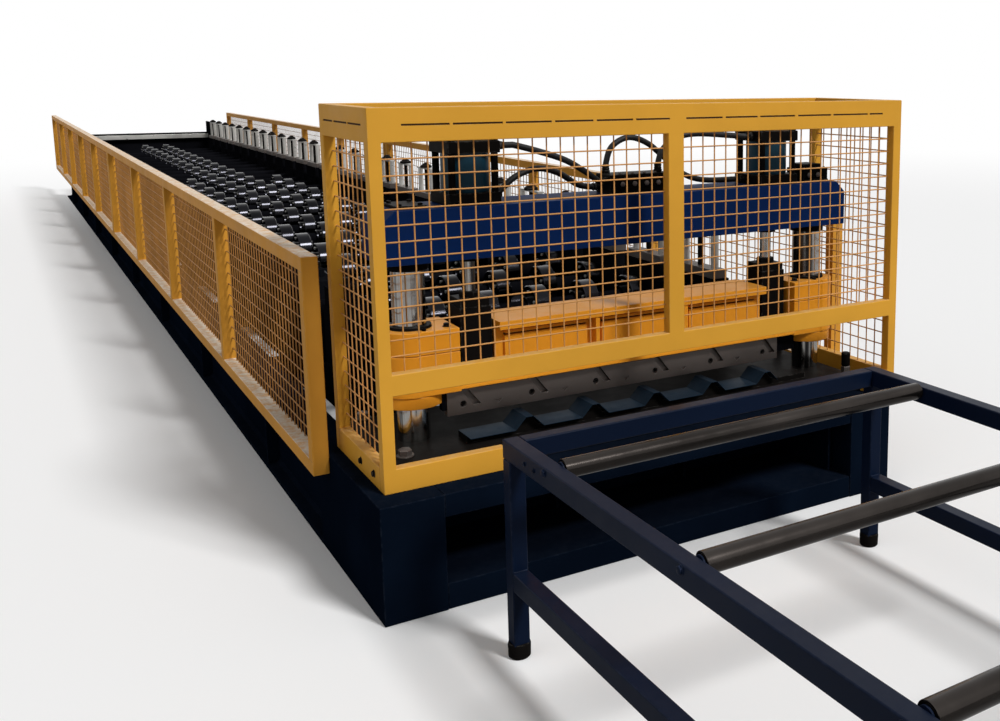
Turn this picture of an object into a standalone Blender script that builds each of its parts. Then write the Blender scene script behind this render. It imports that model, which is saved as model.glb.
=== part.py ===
"""Roll forming machine for trapezoidal roof sheet, with its cut-off press and run-out table.

Metres, +Z up. The sheet travels along -Y: infeed at +Y, forming stations, cut-off press in its
guard cage, then the run-out table. Heights are above the floor. Lengthwise places are written
from the cage's front face and moved to the part's own origin by MACHINE_ORIGIN_Y.
"""
import math

import bmesh
import bpy
import numpy as np
from mathutils import Matrix, Vector

for old in list(bpy.data.objects):
    bpy.data.objects.remove(old, do_unlink=True)

SEAT = 0.0003              # clearance left between pieces that touch
MACHINE_X = -0.02          # the tooling's centre line, beside the guards' own centre line

# Base frame of the forming section
BASE_CENTRE_X = -0.0775
BASE_HALF_WIDTH = 1.0175
BASE_HEIGHT = 0.376
BASE_START_Y = 0.62
BASE_END_Y = 13.75
BEAM_FLANGE = 0.12
BEAM_FLANGE_THICK = 0.02
BEAM_WEB = 0.014
CROSS_MEMBER_PITCH = 1.6
CROSS_MEMBER_WIDTH = 0.10
CROSS_MEMBER_Z = (0.06, 0.22)

# Stand below the press
PRESS_STAND_FRONT_Y = -0.095
PRESS_STAND_COLUMN = 0.20
PRESS_STAND_RECESS_DEPTH = 0.42
PRESS_STAND_BOTTOM_BEAM = 0.085
PRESS_STAND_TOP_BEAM = 0.075

# Press table, posts, top beam
CAGE_OVERHANG = 0.0325
CAGE_HALF_WIDTH = BASE_HALF_WIDTH + CAGE_OVERHANG
POST_TO_CAGE = 0.215
POST_SPACING = 2 * (CAGE_HALF_WIDTH - POST_TO_CAGE)
POST_Y = 0.30
POST_RADIUS = 0.055
POST_SIDES = 16
POST_LENGTH = 0.605
PRESS_TABLE_LEFT_REACH = 0.145
PRESS_TABLE_RIGHT_REACH = 0.075
PRESS_TABLE_X = (MACHINE_X - POST_SPACING / 2 - PRESS_TABLE_LEFT_REACH,
                 MACHINE_X + POST_SPACING / 2 + PRESS_TABLE_RIGHT_REACH)
PRESS_TABLE_Y = (0.05, 0.60)
PRESS_TABLE_THICK = 0.064
PRESS_TABLE_TOP = BASE_HEIGHT + PRESS_TABLE_THICK
TOP_BEAM_OVERHANG = 0.11
TOP_BEAM_HALF_LENGTH = POST_SPACING / 2 + TOP_BEAM_OVERHANG
TOP_BEAM_Y = (0.19, 0.41)
TOP_BEAM_HEIGHT = 0.175
TOP_BEAM_Z = (PRESS_TABLE_TOP + POST_LENGTH, PRESS_TABLE_TOP + POST_LENGTH + TOP_BEAM_HEIGHT)
TOP_BEAM_CHAMFER = 0.042

# Hydraulics on the top beam
CYLINDER_TO_POST = 0.21
CYLINDER_SPACING = POST_SPACING - 2 * CYLINDER_TO_POST
CYLINDER_CAP = 0.18
CYLINDER_CAP_HEIGHT = 0.04
CYLINDER_HEIGHT = 0.21
CYLINDER_RADIUS = 0.065
ROD_RADIUS = 0.022
ROD_CLEARANCE = 0.004
VALVE_LENGTH = 0.128
VALVE_HEIGHT = 0.07
VALVE_Y = (0.25, 0.36)
MANIFOLD_X = (-0.125, 0.125)
MANIFOLD_HEIGHT = 0.07
HOSE_RADIUS = 0.011
FRONT_HOSE_Y = 0.27
REAR_HOSE_Y = 0.33

# Formed sheet and the die below it
SHEET_TO_POST = 0.125
SHEET_HALF_WIDTH = POST_SPACING / 2 - SHEET_TO_POST
SHEET_THICK = 0.003
DIE_HEIGHT = 0.022
SHEET_VALLEY_Z = PRESS_TABLE_TOP + DIE_HEIGHT
SHEET_EDGE = 0.21
RIB_COUNT = 5
RIB_PITCH = 2 * (SHEET_HALF_WIDTH - SHEET_EDGE) / (RIB_COUNT - 1)
RIB_HEIGHT = 0.035
RIB_TOP_HALF = 0.014
RIB_FOOT_HALF = 0.042
SHEET_Y = (0.01, 0.222)
DIE_Y = (0.14, 0.222)

# Moving blade carriage
BLADE_HALF_LENGTH = SHEET_HALF_WIDTH
BLADE_HEIGHT = 0.07
BLADE_Y = (0.230, 0.262)
BLADE_GAP = 0.005
CARRIAGE_BOTTOM = (SHEET_VALLEY_Z + RIB_HEIGHT + SHEET_THICK + BLADE_GAP + BLADE_HEIGHT + SEAT)
CARRIAGE_SLAB = 0.065
CARRIAGE_HEIGHT = 0.2447
CARRIAGE_TOP = CARRIAGE_BOTTOM + CARRIAGE_HEIGHT
CARRIAGE_Y = (0.20, 0.40)
CARRIAGE_NOSE_RADIUS = 0.105
CARRIAGE_BLOCK_INSET = 0.135
CARRIAGE_WEB_DEPTH = 0.11
CARRIAGE_FLANGE = 0.03
POST_CLEARANCE = 0.0005
ROD_END_WIDTH = 0.11
ROD_END_RISE = 0.08
ROD_END_TOP = CARRIAGE_TOP + ROD_END_RISE
ROD_END_CLEARANCE = 0.01
CARRIAGE_CENTRE_HALF = CYLINDER_SPACING / 2 - ROD_END_WIDTH / 2 - ROD_END_CLEARANCE

# Guard cage
CAGE_DEPTH = 0.533
CAGE_BOTTOM = BASE_HEIGHT + SEAT
CAGE_HEIGHT = 1.1737
CAGE_TOP = CAGE_BOTTOM + CAGE_HEIGHT
CAGE_TUBE = 0.04
CAGE_TOP_RAIL = 0.103
CAGE_OUTLET_HEIGHT = 0.3047
CAGE_MID_RAIL = 0.067
CAGE_MID_RAIL_Z = (CAGE_BOTTOM + CAGE_OUTLET_HEIGHT, CAGE_BOTTOM + CAGE_OUTLET_HEIGHT + CAGE_MID_RAIL)
CAGE_LOW_RAIL = 0.076
CAGE_STUB_LENGTH = 0.357
CAGE_CENTRE_POST = 0.063
CAGE_BRACKET_THICK = 0.03
CAGE_BRACKET_CLEARANCE = 0.01
MESH_BAR = 0.010
MESH_INSET = 0.004

# Fences beside the forming section
FENCE_STANDOFF = 0.21
FENCE_OUTER_X = BASE_CENTRE_X + BASE_HALF_WIDTH + FENCE_STANDOFF
FENCE_DEPTH = 0.0547
FENCE_DROP = 0.065
FENCE_HEIGHT = 0.747
FENCE_Z = (BASE_HEIGHT - FENCE_DROP, BASE_HEIGHT - FENCE_DROP + FENCE_HEIGHT)
FENCE_RAIL = 0.05
FENCE_POST = 0.05
FENCE_START_Y = 0.46
FENCE_SPLIT_Y = 6.88
FENCE_END_Y = 14.65
FENCE_SPLIT_GAP = 0.02
FENCE_BAYS = {"near": 4, "far": 5}
FENCE_BRACKET_DROP = 0.016
FENCE_BRACKET_THICK = 0.035
FENCE_BRACKET_Z = (BASE_HEIGHT - FENCE_BRACKET_DROP - FENCE_BRACKET_THICK,
                   BASE_HEIGHT - FENCE_BRACKET_DROP)

# Forming stations
STATION_START_Y = 0.96
STATION_PITCH = 0.465
SECTION_COUNT = 7
STATIONS_PER_SECTION = 4
STAND_TO_BASE_EDGE = 0.2775
STAND_X = BASE_HALF_WIDTH - STAND_TO_BASE_EDGE
STAND_WIDTH = 0.10
STAND_LENGTH = 0.36
STAND_HEIGHT = 0.364
STAND_TOP = BASE_HEIGHT + STAND_HEIGHT
COLUMN_SPACING = 0.28
COLUMN_SIZE = 0.040
COLUMN_HEIGHT = 0.212
COLUMN_TOP = STAND_TOP + COLUMN_HEIGHT
BRIDGE_THICK = 0.02
LEFT_CAP_LENGTH = 0.12
LEFT_CAP_HEIGHT = 0.06
ROLL_SIDES = 6
LOWER_ROLL_RADIUS = 0.085
UPPER_DISC_RADIUS = 0.105
UPPER_DISC_HALF = 0.05
UPPER_DISC_FACE_HALF = 0.038
SHAFT_RADIUS = 0.036
PASS_GAP = 0.002
DISCS_BY_SECTION = (2, 2, 2, 4, 4, 6, 6)

# Infeed end
INFEED_PLATE = 0.02
INFEED_HALF_WIDTH = 0.76
INFEED_LENGTH = 0.36
INFEED_PLATE_RISE = 0.498
INFEED_TOP = SHEET_VALLEY_Z + INFEED_PLATE_RISE
INFEED_TRAY = 0.012
INFEED_BAR_Y = 0.22
INFEED_BAR_RISE = 0.268
INFEED_BAR_HEIGHT = 0.08
INFEED_BAR_Z = (SHEET_VALLEY_Z + INFEED_BAR_RISE,
                SHEET_VALLEY_Z + INFEED_BAR_RISE + INFEED_BAR_HEIGHT)
INFEED_BAR_DEPTH = 0.08

# Run-out table
TABLE_CENTRE_X = -0.157
TABLE_HALF_WIDTH = 0.69
TABLE_TOP = 0.645
TABLE_START_Y = -0.44
TABLE_TUBE = 0.048
TABLE_RAIL_HEIGHT = 0.056
TABLE_LOW_RAIL_Z = (0.21, 0.265)
TABLE_LEG_FOOT = 0.03
TABLE_FOOT_RADIUS = 0.0235
TABLE_ROLLER_FIRST = 0.27
TABLE_ROLLER_PITCH = 0.665
TABLE_ROLLER_COUNT = 5
TABLE_ROLLER_RADIUS = 0.027
TABLE_ROLLER_RISE = 0.012
TABLE_ROLLER_PIN = 0.008
TABLE_ROLLER_SIDES = 10
TABLE_ROLLER_SIDE_GAP = 0.006
TABLE_PIN_CLEARANCE = 0.0015

TABLE_END_Y = (TABLE_START_Y - 2 * TABLE_ROLLER_FIRST
               - (TABLE_ROLLER_COUNT - 1) * TABLE_ROLLER_PITCH)
MACHINE_ORIGIN_Y = (FENCE_END_Y + TABLE_END_Y) / 2


def paint(name, colour, roughness, metallic=0.0):
    """A plain Principled material."""
    material = bpy.data.materials.new(name)
    material.use_nodes = True
    shader = material.node_tree.nodes["Principled BSDF"]
    shader.inputs["Base Color"].default_value = (*colour, 1.0)
    shader.inputs["Roughness"].default_value = roughness
    shader.inputs["Metallic"].default_value = metallic
    material.diffuse_color = (*colour, 1.0)
    return material


YELLOW = paint("yellow_paint", (0.62, 0.31, 0.045), 0.45)
BLUE = paint("blue_paint", (0.008, 0.024, 0.11), 0.40)
NAVY = paint("navy_paint", (0.010, 0.020, 0.055), 0.50)
BASE_NAVY = paint("base_paint", (0.006, 0.011, 0.028), 0.55)
BLACK_STEEL = paint("blackened_steel", (0.016, 0.014, 0.013), 0.42, 0.6)
ROLL_STEEL = paint("roll_steel", (0.035, 0.036, 0.040), 0.25, 0.9)
CHROME = paint("chrome", (0.72, 0.71, 0.68), 0.12, 1.0)
BLADE_STEEL = paint("blade_steel", (0.16, 0.14, 0.13), 0.40, 0.8)
PIPE_STEEL = paint("pipe_steel", (0.11, 0.10, 0.095), 0.32, 0.9)
SHEET_PAINT = paint("sheet_coating", (0.030, 0.058, 0.085), 0.38)
TEAL = paint("cylinder_paint", (0.010, 0.055, 0.075), 0.40)
RUBBER = paint("hose_rubber", (0.012, 0.012, 0.013), 0.55)

origin = bpy.data.objects.new("machine_origin", None)
origin.location = (0.0, -MACHINE_ORIGIN_Y, 0.0)
bpy.context.scene.collection.objects.link(origin)


def add(name, mesh, material, smooth=False):
    """Put a finished mesh in the scene as a named piece."""
    mesh.name = name
    mesh.materials.clear()
    mesh.materials.append(material)
    if smooth:
        mesh.shade_smooth()
        mesh.set_sharp_from_angle(angle=math.radians(40))
    piece = bpy.data.objects.new(name, mesh)
    piece.parent = origin
    bpy.context.scene.collection.objects.link(piece)
    return piece


def to_mesh(shape, name="shape"):
    """Turn a bmesh into a mesh with its faces pointing out."""
    bmesh.ops.recalc_face_normals(shape, faces=shape.faces)
    mesh = bpy.data.meshes.new(name)
    shape.to_mesh(mesh)
    shape.free()
    return mesh


def welded(boxes):
    """Mesh of straight bars and plates, with one skin where they meet.

    Each box is ((x0, x1), (y0, y1), (z0, z1)). Space is cut at every box face, and a face is
    made wherever a filled cell lies beside an empty one.
    """
    cuts = [sorted({round(limit, 6) for box in boxes for limit in box[axis]}) for axis in range(3)]
    filled = np.zeros([len(cut) + 1 for cut in cuts], dtype=np.int8)
    for box in boxes:
        spans = []
        for axis in range(3):
            low = cuts[axis].index(round(min(box[axis]), 6))
            high = cuts[axis].index(round(max(box[axis]), 6))
            spans.append(slice(low + 1, high + 1))
        filled[tuple(spans)] = 1
    shape = bmesh.new()
    corners = {}

    def corner(key):
        if key not in corners:
            corners[key] = shape.verts.new([cuts[axis][key[axis]] for axis in range(3)])
        return corners[key]

    for axis in range(3):
        step = np.diff(filled, axis=axis)
        across, up = (axis + 1) % 3, (axis + 2) % 3
        for cell in np.argwhere(step != 0):
            ring = []
            for a, b in ((1, 1), (0, 1), (0, 0), (1, 0)):
                key = [0, 0, 0]
                key[axis] = int(cell[axis])
                key[across] = int(cell[across]) - a
                key[up] = int(cell[up]) - b
                ring.append(corner(tuple(key)))
            if step[tuple(cell)] > 0:
                ring.reverse()
            shape.faces.new(ring)
    bmesh.ops.dissolve_limit(shape, angle_limit=0.001, verts=shape.verts, edges=shape.edges)
    return to_mesh(shape)


def prism(outline, axis, span):
    """Extrude a closed outline along Y ('Y', points x, z) or Z ('Z', points x, y)."""
    shape = bmesh.new()
    if axis == "Y":
        ring = [shape.verts.new((a, span[0], b)) for a, b in outline]
        push = Vector((0.0, span[1] - span[0], 0.0))
    else:
        ring = [shape.verts.new((a, b, span[0])) for a, b in outline]
        push = Vector((0.0, 0.0, span[1] - span[0]))
    face = shape.faces.new(ring)
    made = bmesh.ops.extrude_face_region(shape, geom=[face])
    bmesh.ops.translate(shape, vec=push,
                        verts=[part for part in made["geom"] if isinstance(part, bmesh.types.BMVert)])
    return to_mesh(shape)


def turned(profile, sides, axis="Z", centre=(0.0, 0.0, 0.0)):
    """Revolve (distance along the axis, radius) points about an axis through centre."""
    shape = bmesh.new()
    rings = []
    for along, radius in profile:
        ring = []
        for index in range(sides):
            angle = 2 * math.pi * (index + 0.5) / sides
            a, b = radius * math.cos(angle), radius * math.sin(angle)
            place = (a, b, along) if axis == "Z" else (along, a, b)
            ring.append(shape.verts.new(Vector(place) + Vector(centre)))
        rings.append(ring)
    for low, high in zip(rings, rings[1:]):
        for index in range(sides):
            after = (index + 1) % sides
            shape.faces.new((low[index], low[after], high[after], high[index]))
    shape.faces.new(list(reversed(rings[0])))
    shape.faces.new(rings[-1])
    return to_mesh(shape)


def combined(first, second, operation):
    """Boolean of two closed meshes, as a new mesh."""
    holders = []
    for mesh in (first, second):
        holder = bpy.data.objects.new("work", mesh)
        bpy.context.scene.collection.objects.link(holder)
        holders.append(holder)
    cut = holders[0].modifiers.new("cut", "BOOLEAN")
    cut.operation = operation
    cut.object = holders[1]
    depsgraph = bpy.context.evaluated_depsgraph_get()
    result = bpy.data.meshes.new_from_object(holders[0].evaluated_get(depsgraph))
    for holder in holders:
        bpy.data.objects.remove(holder, do_unlink=True)
    return result


def together(meshes):
    """Several meshes that don't touch, as one mesh for a Boolean."""
    shape = bmesh.new()
    for mesh in meshes:
        shape.from_mesh(mesh)
    result = bpy.data.meshes.new("set")
    shape.to_mesh(result)
    shape.free()
    return result


def union(first, *others):
    """Join closed meshes one after another into a single skin."""
    for other in others:
        first = combined(first, other, "UNION")
    return first


def base_frame():
    """Two long I-beams and the cross members between them."""
    left = BASE_CENTRE_X - BASE_HALF_WIDTH
    right = BASE_CENTRE_X + BASE_HALF_WIDTH
    along = (BASE_START_Y + SEAT, BASE_END_Y)
    boxes = []
    for edge, side in ((left, 1), (right, -1)):
        flange = (edge, edge + side * BEAM_FLANGE)
        middle = edge + side * BEAM_FLANGE / 2
        boxes.append((flange, along, (0.0, BEAM_FLANGE_THICK)))
        boxes.append((flange, along, (BASE_HEIGHT - BEAM_FLANGE_THICK, BASE_HEIGHT)))
        boxes.append(((middle - BEAM_WEB / 2, middle + BEAM_WEB / 2), along, (0.0, BASE_HEIGHT)))
    inner = (left + BEAM_FLANGE / 2, right - BEAM_FLANGE / 2)
    members = int((BASE_END_Y - BASE_START_Y) / CROSS_MEMBER_PITCH)
    for index in range(members + 1):
        end = BASE_END_Y - index * CROSS_MEMBER_PITCH
        boxes.append((inner, (end - CROSS_MEMBER_WIDTH, end), CROSS_MEMBER_Z))
    add("base_frame", welded(boxes), BASE_NAVY)


def press_stand():
    """Welded stand below the press: corner columns round an open front."""
    left = BASE_CENTRE_X - BASE_HALF_WIDTH
    right = BASE_CENTRE_X + BASE_HALF_WIDTH
    back = PRESS_STAND_FRONT_Y + PRESS_STAND_RECESS_DEPTH
    whole = (PRESS_STAND_FRONT_Y, BASE_START_Y)
    boxes = [
        ((left, left + PRESS_STAND_COLUMN), whole, (0.0, BASE_HEIGHT)),
        ((right - PRESS_STAND_COLUMN, right), whole, (0.0, BASE_HEIGHT)),
        ((left, right), (back, BASE_START_Y), (0.0, BASE_HEIGHT)),
        ((left, right), (PRESS_STAND_FRONT_Y, back), (0.0, PRESS_STAND_BOTTOM_BEAM)),
        ((left, right), (PRESS_STAND_FRONT_Y, back), (BASE_HEIGHT - PRESS_STAND_TOP_BEAM, BASE_HEIGHT)),
    ]
    add("press_stand", welded(boxes), BASE_NAVY)


def press_table():
    """Thick plate that carries the posts and the lower die."""
    box = (PRESS_TABLE_X, PRESS_TABLE_Y, (BASE_HEIGHT + SEAT, PRESS_TABLE_TOP))
    add("press_table", welded([box]), BLACK_STEEL)


def side_name(side):
    """Word for the side of the machine that -1 or 1 stands for."""
    return "left" if side < 0 else "right"


def guide_posts():
    """Ground posts from the press table to the top beam."""
    for side in (-1, 1):
        centre = (MACHINE_X + side * POST_SPACING / 2, POST_Y, 0.0)
        ends = ((PRESS_TABLE_TOP + SEAT, POST_RADIUS), (TOP_BEAM_Z[0] - SEAT, POST_RADIUS))
        add("guide_post_" + side_name(side), turned(ends, POST_SIDES, "Z", centre), CHROME, True)


def top_beam():
    """Chamfered cross beam on the posts, bored for the two piston rods."""
    low, high = TOP_BEAM_Z
    half, chamfer = TOP_BEAM_HALF_LENGTH, TOP_BEAM_CHAMFER
    outline = [(-half, low), (half, low), (half, high - chamfer), (half - chamfer, high),
               (chamfer - half, high), (-half, high - chamfer)]
    mesh = prism([(x + MACHINE_X, z) for x, z in outline], "Y", TOP_BEAM_Y)
    for side in (-1, 1):
        centre = (MACHINE_X + side * CYLINDER_SPACING / 2, POST_Y, 0.0)
        radius = ROD_RADIUS + ROD_CLEARANCE
        bore = turned(((low - 0.02, radius), (high + 0.02, radius)), 12, "Z", centre)
        mesh = combined(mesh, bore, "DIFFERENCE")
    add("top_beam", mesh, BLUE)


def hydraulic_cylinders():
    """Square-capped cylinders on the top beam, each open below for its rod."""
    for side in (-1, 1):
        x = MACHINE_X + side * CYLINDER_SPACING / 2
        bottom = TOP_BEAM_Z[1] + SEAT
        top = bottom + CYLINDER_HEIGHT
        half = CYLINDER_CAP / 2
        cap_x, cap_y = (x - half, x + half), (POST_Y - half, POST_Y + half)
        lower = welded([(cap_x, cap_y, (bottom, bottom + CYLINDER_CAP_HEIGHT))])
        upper = welded([(cap_x, cap_y, (top - CYLINDER_CAP_HEIGHT, top))])
        overlap = CYLINDER_CAP_HEIGHT / 2
        ends = ((bottom + overlap, CYLINDER_RADIUS), (top - overlap, CYLINDER_RADIUS))
        barrel = turned(ends, POST_SIDES, "Z", (x, POST_Y, 0.0))
        add("cylinder_" + side_name(side), union(barrel, lower, upper), TEAL, True)


def valve_block():
    """Valve block at the right end of the top beam and the manifold at its middle."""
    bottom = TOP_BEAM_Z[1] + SEAT
    end = MACHINE_X + TOP_BEAM_HALF_LENGTH - TOP_BEAM_CHAMFER
    valve = ((end - VALVE_LENGTH, end), VALVE_Y, (bottom, bottom + VALVE_HEIGHT))
    manifold = (MANIFOLD_X, VALVE_Y, (bottom, bottom + MANIFOLD_HEIGHT))
    add("valve_block", welded([valve]), BLACK_STEEL)
    add("manifold", welded([manifold]), BLACK_STEEL)


def smooth_route(points, per_span):
    """Smooth curve through the inner points, with straight runs out of the two end fittings."""
    first, *inner, last = points
    ends = [first] + inner + [last]
    route = [first]
    for index in range(1, len(ends) - 2):
        p0, p1, p2, p3 = ends[index - 1:index + 3]
        for step in range(per_span):
            t = step / per_span
            route.append(0.5 * (2 * p1 + (p2 - p0) * t + (2 * p0 - 5 * p1 + 4 * p2 - p3) * t * t
                                + (3 * p1 - p0 - 3 * p2 + p3) * t * t * t))
    return route + [inner[-1], last]


def hoses():
    """Hydraulic hoses from the manifold and the valve block to the cylinders."""
    floor = TOP_BEAM_Z[1]
    left = MACHINE_X - CYLINDER_SPACING / 2 + CYLINDER_CAP / 2 + SEAT
    right = MACHINE_X + CYLINDER_SPACING / 2 - CYLINDER_CAP / 2 - SEAT
    manifold_left = MANIFOLD_X[0] - SEAT
    port_top = CYLINDER_HEIGHT - CYLINDER_CAP_HEIGHT / 2
    port_low = CYLINDER_CAP_HEIGHT / 2
    manifold_top = MANIFOLD_HEIGHT + SEAT
    front, rear = FRONT_HOSE_Y, REAR_HOSE_Y
    span = manifold_left - left
    routes = {
        "hose_left_upper": [(left, front, port_top), (left + 0.16 * span, front, port_top),
                            (left + 0.57 * span, front, 0.138),
                            (left + 0.78 * span, front, 0.090),
                            (manifold_left - 0.03, front, 0.047), (manifold_left, front, 0.047)],
        "hose_left_lower": [(left, rear, port_low), (left + 0.07 * span, rear, port_low),
                            (left + 0.23 * span, rear, 0.074), (left + 0.43 * span, rear, 0.100),
                            (left + 0.62 * span, rear, 0.080), (left + 0.79 * span, rear, 0.036),
                            (manifold_left - 0.03, rear, 0.024), (manifold_left, rear, 0.024)],
        "hose_right_upper": [(0.085, front, manifold_top), (0.085, front, 0.100),
                             (0.108, front, 0.155), (0.17, front, 0.195),
                             (0.26, front, 0.207), (right - 0.10, front, 0.196),
                             (right - 0.04, front, port_top), (right, front, port_top)],
        "hose_right_lower": [(-0.10, rear, manifold_top), (-0.10, rear, 0.100),
                             (-0.075, rear, 0.165), (-0.005, rear, 0.198),
                             (0.075, rear, 0.175), (0.15, rear, 0.118), (0.235, rear, 0.052),
                             (0.33, rear, 0.024), (right - 0.04, rear, port_low),
                             (right, rear, port_low)],
    }
    for name, places in routes.items():
        points = [Vector((x, y, floor + z)) for x, y, z in places]
        curve = bpy.data.curves.new(name, "CURVE")
        curve.dimensions = "3D"
        curve.bevel_depth = HOSE_RADIUS
        curve.bevel_resolution = 2
        curve.use_fill_caps = True
        route = smooth_route(points, 3)
        spline = curve.splines.new("POLY")
        spline.points.add(len(route) - 1)
        for point, place in zip(spline.points, route):
            point.co = (*place, 1.0)
        curve.materials.append(RUBBER)
        hose = bpy.data.objects.new(name, curve)
        hose.parent = origin
        bpy.context.scene.collection.objects.link(hose)


def carriage():
    """Blade carriage: bottom slab, nosed end blocks round the posts and a flanged middle beam."""
    low, high = CARRIAGE_BOTTOM, CARRIAGE_TOP
    slab_top = low + CARRIAGE_SLAB
    post_x = POST_SPACING / 2
    web_y = (POST_Y - CARRIAGE_WEB_DEPTH / 2, POST_Y + CARRIAGE_WEB_DEPTH / 2)
    middle = (MACHINE_X - CARRIAGE_CENTRE_HALF, MACHINE_X + CARRIAGE_CENTRE_HALF)
    boxes = [
        ((MACHINE_X - post_x, MACHINE_X + post_x), CARRIAGE_Y, (low, slab_top)),
        (middle, web_y, (low, high)),
        (middle, CARRIAGE_Y, (high - CARRIAGE_FLANGE, high)),
    ]
    for side in (-1, 1):
        inner = MACHINE_X + side * (post_x - CARRIAGE_BLOCK_INSET)
        outer = MACHINE_X + side * post_x
        boxes.append((tuple(sorted((inner, outer))), CARRIAGE_Y, (low, high)))
    mesh = welded(boxes)
    for side in (-1, 1):
        centre = (MACHINE_X + side * post_x, POST_Y, 0.0)
        nose = turned(((low, CARRIAGE_NOSE_RADIUS), (high, CARRIAGE_NOSE_RADIUS)),
                      POST_SIDES, "Z", centre)
        radius = POST_RADIUS + POST_CLEARANCE
        bore = turned(((low - 0.02, radius), (high + 0.02, radius)), POST_SIDES, "Z", centre)
        mesh = combined(union(mesh, nose), bore, "DIFFERENCE")
    add("blade_carriage", mesh, YELLOW, True)


def rib_centres():
    """Places of the sheet's ribs across the machine."""
    first = MACHINE_X - RIB_PITCH * (RIB_COUNT - 1) / 2
    return [first + index * RIB_PITCH for index in range(RIB_COUNT)]


def blade_bar():
    """Blade holder below the carriage, its upper edge notched once a rib."""
    top = CARRIAGE_BOTTOM - SEAT
    bottom = top - BLADE_HEIGHT
    outline = [(MACHINE_X - BLADE_HALF_LENGTH, bottom), (MACHINE_X + BLADE_HALF_LENGTH, bottom),
               (MACHINE_X + BLADE_HALF_LENGTH, top)]
    for x in reversed(rib_centres()):
        x -= RIB_PITCH / 3
        outline += [(x + 0.03, top), (x + 0.045, top - 0.03), (x + 0.015, top - 0.03), (x, top)]
    outline.append((MACHINE_X - BLADE_HALF_LENGTH, top))
    add("blade_bar", prism(outline, "Y", BLADE_Y), BLADE_STEEL)


def rod_ends():
    """Square rod ends on the carriage with their piston rods, which enter the top beam."""
    half = ROD_END_WIDTH / 2
    for side in (-1, 1):
        x = MACHINE_X + side * CYLINDER_SPACING / 2
        bottom = CARRIAGE_BOTTOM + CARRIAGE_SLAB + SEAT
        block = welded([((x - half, x + half), (POST_Y - half, POST_Y + half),
                         (bottom, ROD_END_TOP))])
        ends = ((ROD_END_TOP - 0.02, ROD_RADIUS), (TOP_BEAM_Z[1] - 0.03, ROD_RADIUS))
        rod = turned(ends, 12, "Z", (x, POST_Y, 0.0))
        add("piston_rod_" + side_name(side), union(block, rod), BLACK_STEEL, True)


def sheet_line(lift):
    """Trapezoid outline of the formed sheet, left to right, raised by lift."""
    line = [(MACHINE_X - SHEET_HALF_WIDTH, SHEET_VALLEY_Z + lift)]
    for x in rib_centres():
        line += [(x - RIB_FOOT_HALF, SHEET_VALLEY_Z + lift),
                 (x - RIB_TOP_HALF, SHEET_VALLEY_Z + RIB_HEIGHT + lift),
                 (x + RIB_TOP_HALF, SHEET_VALLEY_Z + RIB_HEIGHT + lift),
                 (x + RIB_FOOT_HALF, SHEET_VALLEY_Z + lift)]
    line.append((MACHINE_X + SHEET_HALF_WIDTH, SHEET_VALLEY_Z + lift))
    return line


def formed_sheet():
    """End of a formed sheet, and the die block that follows it from below."""
    sheet = sheet_line(0.0) + list(reversed(sheet_line(SHEET_THICK)))
    add("formed_sheet", prism(sheet, "Y", SHEET_Y), SHEET_PAINT)
    floor = PRESS_TABLE_TOP + SEAT
    die = [(MACHINE_X - SHEET_HALF_WIDTH, floor), (MACHINE_X + SHEET_HALF_WIDTH, floor)]
    die += list(reversed(sheet_line(-SEAT)))
    add("lower_die", prism(die, "Y", DIE_Y), BLACK_STEEL)


def lattice(gaps, first, last):
    """Positions of the evenly spaced bars that leave so many gaps between two frame members."""
    return [first + (last - first) * (index + 1) / gaps for index in range(gaps - 1)]


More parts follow.
